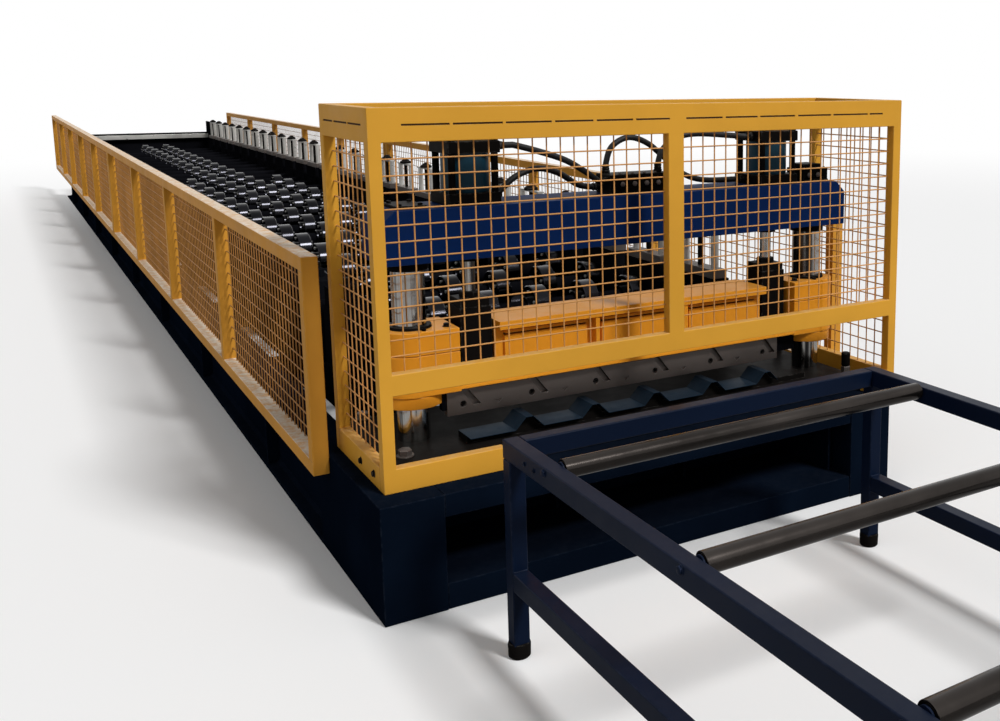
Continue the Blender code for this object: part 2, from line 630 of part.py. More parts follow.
def cage():
    """Guard cage: two side panels, the front panel above the outlet, stubs and a rear rail."""
    tube = CAGE_TUBE
    half = CAGE_HALF_WIDTH
    top_rail = (CAGE_TOP - CAGE_TOP_RAIL, CAGE_TOP)
    low_rail = (CAGE_BOTTOM, CAGE_BOTTOM + CAGE_LOW_RAIL)
    height = (CAGE_BOTTOM, CAGE_TOP)
    bar = MESH_BAR / 2
    front, rear = (0.0, tube), (CAGE_DEPTH - tube, CAGE_DEPTH)
    bracket_start = PRESS_TABLE_X[1] + CAGE_BRACKET_CLEARANCE
    for side in (-1, 1):
        x = tuple(sorted((side * half, side * (half - tube))))
        inner = side * (half - tube + MESH_INSET)
        wire_x = tuple(sorted((inner, inner + side * MESH_BAR)))
        boxes = [(x, front, height), (x, rear, height)]
        boxes.append((x, (0.0, CAGE_DEPTH), top_rail))
        boxes.append((x, (0.0, CAGE_DEPTH), low_rail))
        for y in lattice(3, front[1], rear[0]):
            boxes.append((wire_x, (y - bar, y + bar), (low_rail[1], top_rail[0])))
        for z in lattice(5, low_rail[1], top_rail[0]):
            boxes.append((wire_x, (front[1], rear[0]), (z - bar, z + bar)))
        if side > 0:
            bracket_z = (CAGE_BOTTOM, CAGE_BOTTOM + CAGE_BRACKET_THICK)
            boxes.append(((bracket_start, half), rear, bracket_z))
        add("cage_side_" + side_name(side), welded(boxes), YELLOW)
        stub = sorted((side * (half - tube - SEAT), side * (half - tube - CAGE_STUB_LENGTH)))
        add("cage_stub_" + side_name(side), welded([(tuple(stub), front, low_rail)]), YELLOW)
    inner = (SEAT + tube - half, half - tube - SEAT)
    post = CAGE_CENTRE_POST / 2
    boxes = [(inner, front, CAGE_MID_RAIL_Z), (inner, front, top_rail),
             ((-post, post), front, (CAGE_MID_RAIL_Z[0], CAGE_TOP))]
    wire_y = (tube - MESH_INSET - MESH_BAR, tube - MESH_INSET)
    open_z = (CAGE_MID_RAIL_Z[1], top_rail[0])
    for x0, x1 in ((inner[0], -post), (post, inner[1])):
        for x in lattice(4, x0, x1):
            boxes.append(((x - bar, x + bar), wire_y, open_z))
        for z in lattice(3, *open_z):
            boxes.append(((x0, x1), wire_y, (z - bar, z + bar)))
    add("cage_front_panel", welded(boxes), YELLOW)
    add("cage_rear_rail", welded([(inner, rear, top_rail)]), YELLOW)


def fences():
    """Guard fences: tube frames with a lattice on the inner side, two panels a side."""
    spans = {"near": (FENCE_START_Y, FENCE_SPLIT_Y),
             "far": (FENCE_SPLIT_Y + FENCE_SPLIT_GAP, FENCE_END_Y)}
    bar = MESH_BAR / 2
    low = (FENCE_Z[0], FENCE_Z[0] + FENCE_RAIL)
    high = (FENCE_Z[1] - FENCE_RAIL, FENCE_Z[1])
    base_right = BASE_CENTRE_X + BASE_HALF_WIDTH
    for side in (-1, 1):
        inner_face = FENCE_OUTER_X - FENCE_DEPTH
        x = tuple(sorted((side * FENCE_OUTER_X, side * inner_face)))
        wire = side * (inner_face + MESH_INSET)
        wire_x = tuple(sorted((wire, wire + side * MESH_BAR)))
        for name, (start, end) in spans.items():
            bays = FENCE_BAYS[name]
            pitch = (end - start - FENCE_POST) / bays
            posts = [start + index * pitch for index in range(bays + 1)]
            boxes = [(x, (start, end), low), (x, (start, end), high)]
            for y in posts:
                boxes.append((x, (y, y + FENCE_POST), FENCE_Z))
                if side > 0 and BASE_START_Y < y + FENCE_POST < BASE_END_Y:
                    bracket = (base_right + SEAT, inner_face)
                    boxes.append((bracket, (y, y + FENCE_POST), FENCE_BRACKET_Z))
            for y0, y1 in zip(posts, posts[1:]):
                for y in lattice(3, y0 + FENCE_POST, y1):
                    boxes.append((wire_x, (y - bar, y + bar), (low[1], high[0])))
                for z in lattice(2, low[1], high[0]):
                    boxes.append((wire_x, (y0 + FENCE_POST, y1), (z - bar, z + bar)))
            add("fence_" + side_name(side) + "_" + name, welded(boxes), YELLOW)


def upper_roll(y, discs):
    """Shaft with spaced discs, one over each valley of the sheet."""
    half = STAND_X - STAND_WIDTH / 4
    profile = [(MACHINE_X - half, SHAFT_RADIUS)]
    for index in range(discs):
        x = MACHINE_X + (index - (discs - 1) / 2) * RIB_PITCH
        profile += [(x - UPPER_DISC_HALF, SHAFT_RADIUS),
                    (x - UPPER_DISC_FACE_HALF, UPPER_DISC_RADIUS),
                    (x + UPPER_DISC_FACE_HALF, UPPER_DISC_RADIUS),
                    (x + UPPER_DISC_HALF, SHAFT_RADIUS)]
    profile.append((MACHINE_X + half, SHAFT_RADIUS))
    z = SHEET_VALLEY_Z + PASS_GAP + UPPER_DISC_RADIUS
    return turned(profile, ROLL_SIDES, "X", (0.0, y, z))


def lower_roll(y):
    """Plain lower roll, which ends inside the stands."""
    half = STAND_X - STAND_WIDTH / 4
    profile = ((MACHINE_X - half, LOWER_ROLL_RADIUS), (MACHINE_X + half, LOWER_ROLL_RADIUS))
    return turned(profile, ROLL_SIDES, "X", (0.0, y, SHEET_VALLEY_Z - LOWER_ROLL_RADIUS))


def forming_sections():
    """Groups of forming stations on their mounting rails, each with its stands and rolls.

    The stands on the right carry tall column pairs, those on the left only a low cap.
    """
    rail_z = (CROSS_MEMBER_Z[1] + SEAT, BASE_HEIGHT)
    reach = STATION_PITCH * STATIONS_PER_SECTION
    for section in range(SECTION_COUNT):
        start = STATION_START_Y - STATION_PITCH / 2 + section * reach
        boxes = []
        rolls = []
        for side in (-1, 1):
            x = MACHINE_X + side * STAND_X
            rail_x = (x - STAND_WIDTH / 2, x + STAND_WIDTH / 2)
            boxes.append((rail_x, (start, start + reach - SEAT), rail_z))
        for index in range(STATIONS_PER_SECTION):
            y = STATION_START_Y + section * reach + index * STATION_PITCH
            for side in (-1, 1):
                x = MACHINE_X + side * STAND_X
                body_x = (x - STAND_WIDTH / 2, x + STAND_WIDTH / 2)
                body_y = (y - STAND_LENGTH / 2, y + STAND_LENGTH / 2)
                column_x = (x - COLUMN_SIZE / 2, x + COLUMN_SIZE / 2)
                boxes.append((body_x, body_y, (BASE_HEIGHT, STAND_TOP)))
                if side < 0:
                    cap_y = (y - LEFT_CAP_LENGTH / 2, y + LEFT_CAP_LENGTH / 2)
                    boxes.append((column_x, cap_y, (STAND_TOP, STAND_TOP + LEFT_CAP_HEIGHT)))
                    continue
                for offset in (-COLUMN_SPACING / 2, COLUMN_SPACING / 2):
                    column_y = (y + offset - COLUMN_SIZE / 2, y + offset + COLUMN_SIZE / 2)
                    boxes.append((column_x, column_y, (STAND_TOP, COLUMN_TOP)))
                reach_y = (COLUMN_SPACING + COLUMN_SIZE) / 2
                boxes.append((column_x, (y - reach_y, y + reach_y),
                              (COLUMN_TOP, COLUMN_TOP + BRIDGE_THICK)))
            rolls.append(upper_roll(y, DISCS_BY_SECTION[SECTION_COUNT - 1 - section]))
            rolls.append(lower_roll(y))
        mesh = combined(welded(boxes), together(rolls), "UNION")
        add("forming_section_%d" % (section + 1), mesh, ROLL_STEEL, True)


def infeed():
    """Side plates, entry tray and cross bar at the strip's entry."""
    start = BASE_END_Y + SEAT
    side_y = (start, start + INFEED_LENGTH)
    tray_z = (SHEET_VALLEY_Z - INFEED_TRAY, SHEET_VALLEY_Z)
    bar_y = (start + INFEED_BAR_Y, start + INFEED_BAR_Y + INFEED_BAR_DEPTH)
    inner = INFEED_HALF_WIDTH - INFEED_PLATE
    boxes = [((MACHINE_X - inner, MACHINE_X + inner), side_y, tray_z)]
    for side in (-1, 1):
        x = tuple(sorted((MACHINE_X + side * INFEED_HALF_WIDTH, MACHINE_X + side * inner)))
        boxes.append((x, side_y, (CROSS_MEMBER_Z[0], INFEED_TOP)))
    add("infeed_guide", welded(boxes), BLACK_STEEL)
    bar_x = (MACHINE_X - inner + SEAT, MACHINE_X + inner - SEAT)
    add("infeed_bar", welded([(bar_x, bar_y, INFEED_BAR_Z)]), BLADE_STEEL)


def table_roller_places():
    """Places of the idler rollers' axes along the table."""
    first = TABLE_START_Y - TABLE_ROLLER_FIRST
    return [first - index * TABLE_ROLLER_PITCH for index in range(TABLE_ROLLER_COUNT)]


def run_out_table():
    """Two side frames on three legs each, their end beams and the idler rollers."""
    tube = TABLE_TUBE
    along = (TABLE_END_Y, TABLE_START_Y)
    rail_z = (TABLE_TOP - TABLE_RAIL_HEIGHT, TABLE_TOP)
    middle = (TABLE_START_Y + TABLE_END_Y) / 2
    leg_starts = (TABLE_START_Y - tube, middle - tube / 2, TABLE_END_Y)
    roller_z = TABLE_TOP + TABLE_ROLLER_RISE - TABLE_ROLLER_RADIUS
    inner = TABLE_HALF_WIDTH - tube
    for side in (-1, 1):
        x = tuple(sorted((TABLE_CENTRE_X + side * TABLE_HALF_WIDTH, TABLE_CENTRE_X + side * inner)))
        boxes = [(x, along, rail_z), (x, along, TABLE_LOW_RAIL_Z)]
        feet = []
        for y in leg_starts:
            boxes.append((x, (y, y + tube), (TABLE_LEG_FOOT, TABLE_TOP)))
            centre = ((x[0] + x[1]) / 2, y + tube / 2, 0.0)
            ends = ((0.0, TABLE_FOOT_RADIUS), (TABLE_LEG_FOOT + 0.004, TABLE_FOOT_RADIUS))
            feet.append(turned(ends, 12, "Z", centre))
        mesh = combined(welded(boxes), together(feet), "UNION")
        radius = TABLE_ROLLER_PIN + TABLE_PIN_CLEARANCE
        ends = ((x[0] - 0.02, radius), (x[1] + 0.02, radius))
        bores = [turned(ends, 8, "X", (0.0, y, roller_z)) for y in table_roller_places()]
        mesh = combined(mesh, together(bores), "DIFFERENCE")
        add("table_side_" + side_name(side), mesh, NAVY)
    beam_x = (TABLE_CENTRE_X - inner + SEAT, TABLE_CENTRE_X + inner - SEAT)
    start = (TABLE_START_Y - tube, TABLE_START_Y)
    end = (TABLE_END_Y, TABLE_END_Y + tube)
    add("table_beam_start", welded([(beam_x, start, rail_z)]), NAVY)
    add("table_beam_end", welded([(beam_x, end, rail_z)]), NAVY)
    reach = inner - TABLE_ROLLER_SIDE_GAP
    pin_reach = TABLE_HALF_WIDTH
    profile = [(-pin_reach, TABLE_ROLLER_PIN), (-reach, TABLE_ROLLER_PIN),
               (-reach, TABLE_ROLLER_RADIUS), (reach, TABLE_ROLLER_RADIUS),
               (reach, TABLE_ROLLER_PIN), (pin_reach, TABLE_ROLLER_PIN)]
    for index, y in enumerate(table_roller_places()):
        mesh = turned(profile, TABLE_ROLLER_SIDES, "X")
        roller = add("table_roller_%d" % (index + 1), mesh, PIPE_STEEL, True)
        roller.matrix_local = Matrix.Translation((TABLE_CENTRE_X, y, roller_z))


base_frame()
press_stand()
press_table()
guide_posts()
top_beam()
hydraulic_cylinders()
valve_block()
hoses()
carriage()
blade_bar()
rod_ends()
formed_sheet()
cage()
fences()
forming_sections()
infeed()
run_out_table()
bpy.context.view_layer.update()
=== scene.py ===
"""Looks of the roll forming machine: every piece in full detail, its finish, light and camera."""
import itertools
import math
import random

import bmesh
import bpy
from mathutils import Matrix, Vector


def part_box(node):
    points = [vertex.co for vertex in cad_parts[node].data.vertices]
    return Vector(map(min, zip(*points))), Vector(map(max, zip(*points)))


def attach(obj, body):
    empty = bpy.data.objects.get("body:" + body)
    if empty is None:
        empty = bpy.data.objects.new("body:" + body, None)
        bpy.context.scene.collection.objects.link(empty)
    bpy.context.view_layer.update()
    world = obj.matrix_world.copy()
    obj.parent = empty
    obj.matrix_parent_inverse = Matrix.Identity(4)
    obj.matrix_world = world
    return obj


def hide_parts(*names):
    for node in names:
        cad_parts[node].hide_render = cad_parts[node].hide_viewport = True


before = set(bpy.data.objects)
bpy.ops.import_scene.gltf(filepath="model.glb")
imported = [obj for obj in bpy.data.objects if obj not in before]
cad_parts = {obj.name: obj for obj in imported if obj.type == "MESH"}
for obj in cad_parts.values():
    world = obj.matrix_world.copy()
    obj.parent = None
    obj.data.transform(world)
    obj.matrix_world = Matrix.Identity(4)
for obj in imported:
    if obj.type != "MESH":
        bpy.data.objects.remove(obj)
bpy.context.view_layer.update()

# Lengthwise places are written from the cage's front face and moved by FRONT_Y at the end
FRONT_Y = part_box("cage_front_panel")[0].y
SEAT = 0.0003
MACHINE_X = -0.02


def span(node, axis):
    """A CAD node's extent along one axis (0 X, 1 Y from the cage's front, 2 Z)."""
    low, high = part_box(node)
    shift = FRONT_Y if axis == 1 else 0.0
    return (low[axis] - shift, high[axis] - shift)


def spans(node):
    return [span(node, axis) for axis in range(3)]


# Materials


def plug(owner, socket, value):
    """Set a node's input to a value, or join it to another node's output."""
    if isinstance(value, bpy.types.NodeSocket):
        owner.node_tree.links.new(value, socket)
    else:
        socket.default_value = value


def linked(owner, kind, **inputs):
    """New shader node with its named inputs set or joined."""
    node = owner.node_tree.nodes.new(kind)
    for name, value in inputs.items():
        plug(owner, node.inputs[name.replace("_", " ")], value)
    return node


def noise(material, coordinates, scale, detail=4.0, roughness=0.55, stretch=None):
    """Noise value, with its coordinates stretched for a brushed or turned grain."""
    if stretch is not None:
        mapping = linked(material, "ShaderNodeMapping", Vector=coordinates, Scale=stretch)
        coordinates = mapping.outputs["Vector"]
    node = linked(material, "ShaderNodeTexNoise", Vector=coordinates, Scale=scale,
                  Detail=detail, Roughness=roughness)
    return node.outputs["Fac"]


def ranged(material, value, low, high, new_low, new_high):
    """Value moved smoothly from one range to another."""
    node = linked(material, "ShaderNodeMapRange", Value=value, From_Min=low, From_Max=high,
                  To_Min=new_low, To_Max=new_high)
    node.interpolation_type = "SMOOTHSTEP"
    return node.outputs["Result"]


def combined(owner, operation, first, second):
    """Result of a sum on two numbers or outputs."""
    node = linked(owner, "ShaderNodeMath")
    node.operation = operation
    plug(owner, node.inputs[0], first)
    plug(owner, node.inputs[1], second)
    return node.outputs["Value"]


def mixed(material, factor, first, second):
    """Colour mix of two colours or colour outputs."""
    node = material.node_tree.nodes.new("ShaderNodeMix")
    node.data_type = "RGBA"
    plug(material, node.inputs["Factor"], factor)
    for socket, value in ((node.inputs[6], first), (node.inputs[7], second)):
        plug(material, socket, (*value, 1.0) if isinstance(value, tuple) else value)
    return node.outputs[2]


def mixed_shader(owner, factor, first, second):
    node = linked(owner, "ShaderNodeMixShader", Fac=factor)
    plug(owner, node.inputs[1], first)
    plug(owner, node.inputs[2], second)
    return node.outputs["Shader"]


def layered(material, tone, amount, specks, colour):
    """A colour laid over the tone where both the amount and the specks allow it."""
    return mixed(material, combined(material, "MULTIPLY", amount, specks), tone, colour)


EDGE_REACH = 0.004
CLOUD_SCALE = 2.3
SPECK_SCALE = 31.0
CHIP_SCALE = 45.0
GLOSS_SCALE = 7.0
LEAST_ROUGHNESS = 0.03


def surface(name, colour, roughness, metallic=0.0, level=0.3, mottle=0.06, dust=None, edge_wear_and_highlight=None,
            grain=900.0, stretch=None, depth=0.0003, bump=0.08, spread=0.06, reflection_bands=None):
    """Principled finish: faint cloudy colour, dust on upper faces, worn edges lightened as a painted edge
    highlight, painted reflection bands, uneven gloss, bump.

    dust and edge wear are each an amount and a colour; the wear colour also gives a painted edge highlight.
    The reflection bands are a colour and a coordinate stretch for long dark bands of painted reflection, as
    on the chrome posts.
    """
    material = bpy.data.materials.new(name)
    material.use_nodes = True
    material.diffuse_color = (*colour, 1.0)
    shader = material.node_tree.nodes["Principled BSDF"]
    place = linked(material, "ShaderNodeTexCoord").outputs["Object"]
    geometry = linked(material, "ShaderNodeNewGeometry")
    clouds = noise(material, place, CLOUD_SCALE, 5.0, 0.55)
    dark = tuple(channel * (1.0 - mottle) for channel in colour)
    light = tuple(min(1.0, channel * (1.0 + mottle)) for channel in colour)
    tone = mixed(material, ranged(material, clouds, 0.35, 0.65, 0.0, 1.0), dark, light)
    # Long dark bands along one axis: painted reflection of dark surroundings, used on the chrome.
    if reflection_bands is not None:
        band_colour, stretched = reflection_bands
        bands = noise(material, place, 1.0, 3.0, 0.6, stretched)
        tone = mixed(material, ranged(material, bands, 0.44, 0.56, 0.0, 1.0), tone, band_colour)
    if dust is not None:
        split = linked(material, "ShaderNodeSeparateXYZ", Vector=geometry.outputs["Normal"])
        upper = ranged(material, split.outputs["Z"], 0.35, 0.95, 0.0, dust[0])
        specks = ranged(material, noise(material, place, SPECK_SCALE, 6.0, 0.7), 0.35, 0.70, 0.25, 1.0)
        tone = layered(material, tone, upper, specks, dust[1])
    # Lighter edges: partly rubbed paint, partly a painted edge highlight.
    if edge_wear_and_highlight is not None:
        edges = linked(material, "ShaderNodeBevel", Radius=EDGE_REACH)
        edges.samples = 4
        turn = linked(material, "ShaderNodeVectorMath")
        turn.operation = "DISTANCE"
        plug(material, turn.inputs[0], edges.outputs["Normal"])
        plug(material, turn.inputs[1], geometry.outputs["Normal"])
        rubbed_and_lit_edges = ranged(material, turn.outputs["Value"], 0.06, 0.45, 0.0, edge_wear_and_highlight[0])
        chips = ranged(material, noise(material, place, CHIP_SCALE, 6.0, 0.7), 0.46, 0.60, 0.0, 1.0)
        tone = layered(material, tone, rubbed_and_lit_edges, chips, edge_wear_and_highlight[1])
    plug(material, shader.inputs["Base Color"], tone)
    gloss = ranged(material, noise(material, place, GLOSS_SCALE, 6.0, 0.6), 0.3, 0.7,
                   max(LEAST_ROUGHNESS, roughness - spread), roughness + spread)
    plug(material, shader.inputs["Roughness"], gloss)
    height = noise(material, place, grain, 3.0, 0.5, stretch)
    bumps = linked(material, "ShaderNodeBump", Height=height, Strength=bump, Distance=depth)
    plug(material, shader.inputs["Normal"], bumps.outputs["Normal"])
    shader.inputs["Metallic"].default_value = metallic
    shader.inputs["Specular IOR Level"].default_value = level
    return material


# The edge wear colours are lighter than their paints: worn edges that also carry a painted edge highlight.
YELLOW = surface("yellow paint", (0.63, 0.310, 0.034), 0.50, level=0.08, mottle=0.05,
                 dust=(0.40, (0.66, 0.50, 0.30)), edge_wear_and_highlight=(0.30, (0.70, 0.50, 0.24)))
FENCE = surface("fence paint", (0.60, 0.275, 0.036), 0.50, level=0.06, mottle=0.07,
                dust=(1.3, (0.72, 0.63, 0.52)), edge_wear_and_highlight=(0.30, (0.66, 0.46, 0.24)))
# Fence wire: the yellow wire made darker, as painted shade of the fences' shaded sides.
FENCE_WIRE_SHADED = surface("fence wire in painted shade", (0.34, 0.155, 0.040), 0.55, level=0.1, mottle=0.15,
                     dust=(0.3, (0.45, 0.30, 0.18)))
# The yellow paint made more saturated orange for the carriage: painted warm shade inside the cage.
YELLOW_IN_WARM_SHADE = surface("yellow paint in painted warm shade", (0.74, 0.290, 0.018), 0.42, level=0.10,
                 dust=(0.22, (0.70, 0.46, 0.22)), edge_wear_and_highlight=(0.35, (0.78, 0.52, 0.24)))
WIRE = surface("yellow wire", (0.56, 0.27, 0.085), 0.50, level=0.1, mottle=0.10,
               dust=(0.3, (0.62, 0.44, 0.26)))
BEAM_BLUE = surface("blue paint", (0.0035, 0.0165, 0.076), 0.48, level=0.02, mottle=0.10,
                    dust=(0.05, (0.03, 0.05, 0.10)), edge_wear_and_highlight=(0.30, (0.06, 0.09, 0.17)))
NAVY = surface("navy paint", (0.0028, 0.0070, 0.0205), 0.34, level=0.06, mottle=0.10,
               dust=(0.10, (0.035, 0.040, 0.060)), edge_wear_and_highlight=(0.3, (0.07, 0.09, 0.16)))
BASE = surface("base paint", (0.0026, 0.0054, 0.0120), 0.50, level=0.0, mottle=0.18,
               dust=(0.10, (0.030, 0.033, 0.045)), edge_wear_and_highlight=(0.30, (0.07, 0.08, 0.11)))
BLACK = surface("blackened steel", (0.0055, 0.0048, 0.0044), 0.42, level=0.012, mottle=0.2,
                dust=(0.08, (0.06, 0.052, 0.045)), edge_wear_and_highlight=(0.45, (0.16, 0.15, 0.14)))
ROLL = surface("turned roll steel", (0.013, 0.013, 0.015), 0.13, 1.0, mottle=0.25,
               grain=60.0, stretch=(26.0, 1.0, 1.0), depth=0.0002, bump=0.02, spread=0.03)
STAND = surface("oiled black steel", (0.0045, 0.0046, 0.0060), 0.42, level=0.0, mottle=0.2,
                dust=(0.04, (0.04, 0.04, 0.045)), edge_wear_and_highlight=(0.12, (0.06, 0.06, 0.07)))
# Chrome with long dark vertical bands: painted reflection of the dark machinery round the posts.
CHROME = surface("chrome", (0.56, 0.55, 0.52), 0.13, 1.0, mottle=0.08, grain=240.0,
                 stretch=(1.0, 1.0, 8.0), depth=0.0002, bump=0.05, spread=0.05,
                 reflection_bands=((0.065, 0.062, 0.060), (24.0, 24.0, 0.5)))
BRIGHT = surface("bright steel", (0.55, 0.54, 0.51), 0.32, 0.7, mottle=0.2, grain=160.0,
                 stretch=(1.0, 1.0, 6.0), edge_wear_and_highlight=(0.2, (0.6, 0.58, 0.55)))
GREY = surface("ground steel", (0.105, 0.088, 0.079), 0.42, 0.6, mottle=0.2, grain=120.0,
               stretch=(0.6, 8.0, 8.0), bump=0.12, dust=(0.08, (0.12, 0.10, 0.08)),
               edge_wear_and_highlight=(0.3, (0.35, 0.33, 0.31)))
PIPE = surface("pipe steel", (0.036, 0.031, 0.028), 0.20, 0.9, mottle=0.3, grain=70.0,
               stretch=(1.0, 7.0, 7.0), bump=0.05)
SHEET = surface("coated sheet", (0.0085, 0.0185, 0.032), 0.40, level=0.03, mottle=0.10,
                dust=(0.08, (0.10, 0.12, 0.14)))
TEAL = surface("cylinder paint", (0.008, 0.042, 0.070), 0.36, level=0.12, mottle=0.12,
               dust=(0.05, (0.06, 0.09, 0.10)), edge_wear_and_highlight=(0.4, (0.15, 0.20, 0.22)))
RUBBER = surface("hose rubber", (0.0055, 0.0055, 0.0060), 0.50, level=0.2, mottle=0.2,
                 dust=(0.15, (0.05, 0.048, 0.045)), grain=700.0, depth=0.0008, bump=0.3)
WELD = surface("painted weld", (0.36, 0.17, 0.025), 0.50, level=0.2, mottle=0.2,
               dust=(0.2, (0.30, 0.18, 0.08)), grain=300.0, depth=0.0008, bump=0.3)
# Dark brown laid into grooves and gaps: painted shade.
PAINTED_CREVICE_SHADE = surface("painted shade in crevices", (0.055, 0.026, 0.010), 0.75, level=0.1, mottle=0.3,
                 grain=300.0, depth=0.001, bump=0.4)


# Shapes

# How far a solid reaches into its neighbour, or a cutter past the face it cuts
TUCK = 0.002


def placed(name, data):
    """New object in the scene."""
    made = bpy.data.objects.new(name, data)
    bpy.context.scene.collection.objects.link(made)
    return made


def circles(profile, sides, axis, centre, turn):
    """Rings of points for (distance along the axis, radius) pairs, turned by part of a side."""
    rings = []
    for along, radius in profile:
        ring = []
        for index in range(sides):
            angle = 2 * math.pi * (index + turn) / sides
            a, b = radius * math.cos(angle), radius * math.sin(angle)
            place = {"X": (along, a, b), "Y": (b, along, a), "Z": (a, b, along)}[axis]
            ring.append([c + p for c, p in zip(centre, place)])
        rings.append(ring)
    return rings


def ring_at(point, side, up, radius, sides, turn=0.0):
    """Ring of points round a point, in the plane of two unit vectors."""
    angles = [2 * math.pi * (step + turn) / sides for step in range(sides)]
    return [point + radius * (side * math.cos(angle) + up * math.sin(angle)) for angle in angles]


class Shape:
    """Points and faces of many small solids, which become one joined mesh."""

    def __init__(self):
        self.points = []
        self.faces = []
        self.flat = False

    def add(self, points, faces):
        start = len(self.points)
        self.points += [tuple(point) for point in points]
        self.faces += [[start + index for index in face] for face in faces]
        return self

    def box(self, x, y, z):
        """Straight box between pairs of limits."""
        points = [(a, b, c) for c in sorted(z) for b in sorted(y) for a in sorted(x)]
        return self.add(points, [(0, 2, 3, 1), (4, 5, 7, 6), (0, 1, 5, 4), (2, 6, 7, 3),
                                 (0, 4, 6, 2), (1, 3, 7, 5)])

    def welded(self, boxes):
        """Straight bars with one skin: a face wherever a filled cell lies beside an empty one."""
        cuts = [sorted({round(limit, 6) for box in boxes for limit in box[axis]}) for axis in range(3)]
        filled = set()
        for box in boxes:
            ends = [[cuts[axis].index(round(limit, 6)) for limit in sorted(box[axis])] for axis in range(3)]
            filled.update(itertools.product(*(range(*pair) for pair in ends)))
        corners, faces = {}, []
        for cell in sorted(filled):
            for axis, way in itertools.product(range(3), (0, 1)):
                beside = list(cell)
                beside[axis] += 2 * way - 1
                if tuple(beside) in filled:
                    continue
                face = []
                for a, b in ((0, 0), (1, 0), (1, 1), (0, 1)):
                    key = list(cell)
                    key[axis] += way
                    key[(axis + 1) % 3] += a
                    key[(axis + 2) % 3] += b
                    face.append(corners.setdefault(tuple(key), len(corners)))
                faces.append(face if way else face[::-1])
        self.flat = True
        return self.add([[cuts[axis][key[axis]] for axis in range(3)] for key in corners], faces)

    def skin(self, rings, looped=False):
        """Skin over rings of as many points each, with end caps or looped back to the first."""
        count, sides = len(rings), len(rings[0])
        faces = []
        for row in range(count if looped else count - 1):
            low, high = row * sides, (row + 1) % count * sides
            for index in range(sides):
                after = (index + 1) % sides
                faces.append((low + index, low + after, high + after, high + index))
        if not looped:
            last = (count - 1) * sides
            faces += [list(range(sides - 1, -1, -1)), [last + index for index in range(sides)]]
        return self.add([point for ring in rings for point in ring], faces)

    def turned(self, profile, sides, axis, centre):
        """Revolve (distance along the axis, radius) points about an axis through centre."""
        return self.skin(circles(profile, sides, axis, centre, 0.5))

    def drum(self, limits, radius, sides, axis, centre):
        """Plain cylinder between two distances along the axis."""
        return self.turned([(along, radius) for along in limits], sides, axis, centre)

    def collar(self, profile, sides, axis, centre):
        """Revolve a closed section, which leaves a hole through the middle."""
        return self.skin(circles(profile, sides, axis, centre, 0.0), looped=True)

    def rod(self, start, end, radius, sides=6):
        """Straight round bar between two points."""
        start, end = Vector(start), Vector(end)
        ahead = (end - start).normalized()
        side = ahead.orthogonal().normalized()
        side = (side - ahead * side.dot(ahead)).normalized()
        up = ahead.cross(side)
        return self.skin([ring_at(point, side, up, radius, sides, 0.5) for point in (start, end)])

    def prism(self, outline, axis, limits):
        """Extrude a closed outline along X (points y, z) or Y (points x, z)."""
        place = {"X": lambda a, b, c: (c, a, b), "Y": lambda a, b, c: (a, c, b)}[axis]
        return self.skin([[place(a, b, c) for a, b in outline] for c in limits])

    def mesh(self, name):
        shape = bmesh.new()
        points = [shape.verts.new((x, y + FRONT_Y, z)) for x, y, z in self.points]
        for face in self.faces:
            shape.faces.new([points[index] for index in face])
        if self.flat:
            bmesh.ops.dissolve_limit(shape, angle_limit=0.001, verts=shape.verts, edges=shape.edges)
        bmesh.ops.recalc_face_normals(shape, faces=shape.faces)
        made = bpy.data.meshes.new(name)
        shape.to_mesh(made)
        shape.free()
        return made

    def piece(self, name, material, bevel=0.0, segments=2, body="machine", replaces=(), smooth=True,
              minus=None, grooves=None):
        """Turn the shape into a piece that rides on a CAD body.

        minus is a shape cut out of it before its edges are rounded, grooves one cut afterwards.
        """
        made = placed(name, self.mesh(name))
        if minus is not None:
            carve(made, minus)
        made.data.materials.append(material)
        if bevel:
            rounding = made.modifiers.new("edges", "BEVEL")
            rounding.width = bevel
            rounding.segments = segments
            rounding.limit_method = "ANGLE"
            rounding.angle_limit = math.radians(35)
            rounding.harden_normals = grooves is None
        if grooves is not None:
            carve(made, grooves)
            made.modifiers.new("normals", "WEIGHTED_NORMAL").keep_sharp = True
        if smooth:
            made.data.shade_smooth()
            made.data.set_sharp_from_angle(angle=math.radians(38))
        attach(made, body)
        if replaces:
            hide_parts(*replaces)
        return made


def carve(target, minus):
    """Cut one shape out of an object's mesh."""
    cutter = placed("cutter", minus.mesh("cutter"))
    cut = target.modifiers.new("cut", "BOOLEAN")
    cut.operation = "DIFFERENCE"
    cut.object = cutter
    made = bpy.data.meshes.new_from_object(target.evaluated_get(bpy.context.evaluated_depsgraph_get()))
    target.modifiers.clear()
    target.data = made
    bpy.data.objects.remove(cutter, do_unlink=True)


def both(value):
    """The same distance on both sides of zero."""
    return (-value, value)


def about(centre, half):
    return (centre - half, centre + half)


def sided(side, near, far):
    """Limits between two distances on one side of the guards' centre, in rising order."""
    return tuple(sorted((side * near, side * far)))


def spread(count, first, last):
    """Positions of the lines that split a gap into so many cells."""
    return [first + (last - first) * index / count for index in range(1, count)]


def side_name(side):
    return "left" if side < 0 else "right"


def bolt(shape, centre, axis, radius, height, way=1):
    """Hexagon head with a chamfered top and a washer below it, standing out along the axis."""
    step = way * height
    shape.drum((0.0, step * 0.2), radius * 1.25, 16, axis, centre)
    shape.turned([(step * 0.2, radius), (step * 0.85, radius), (step, radius * 0.84)], 6, axis, centre)


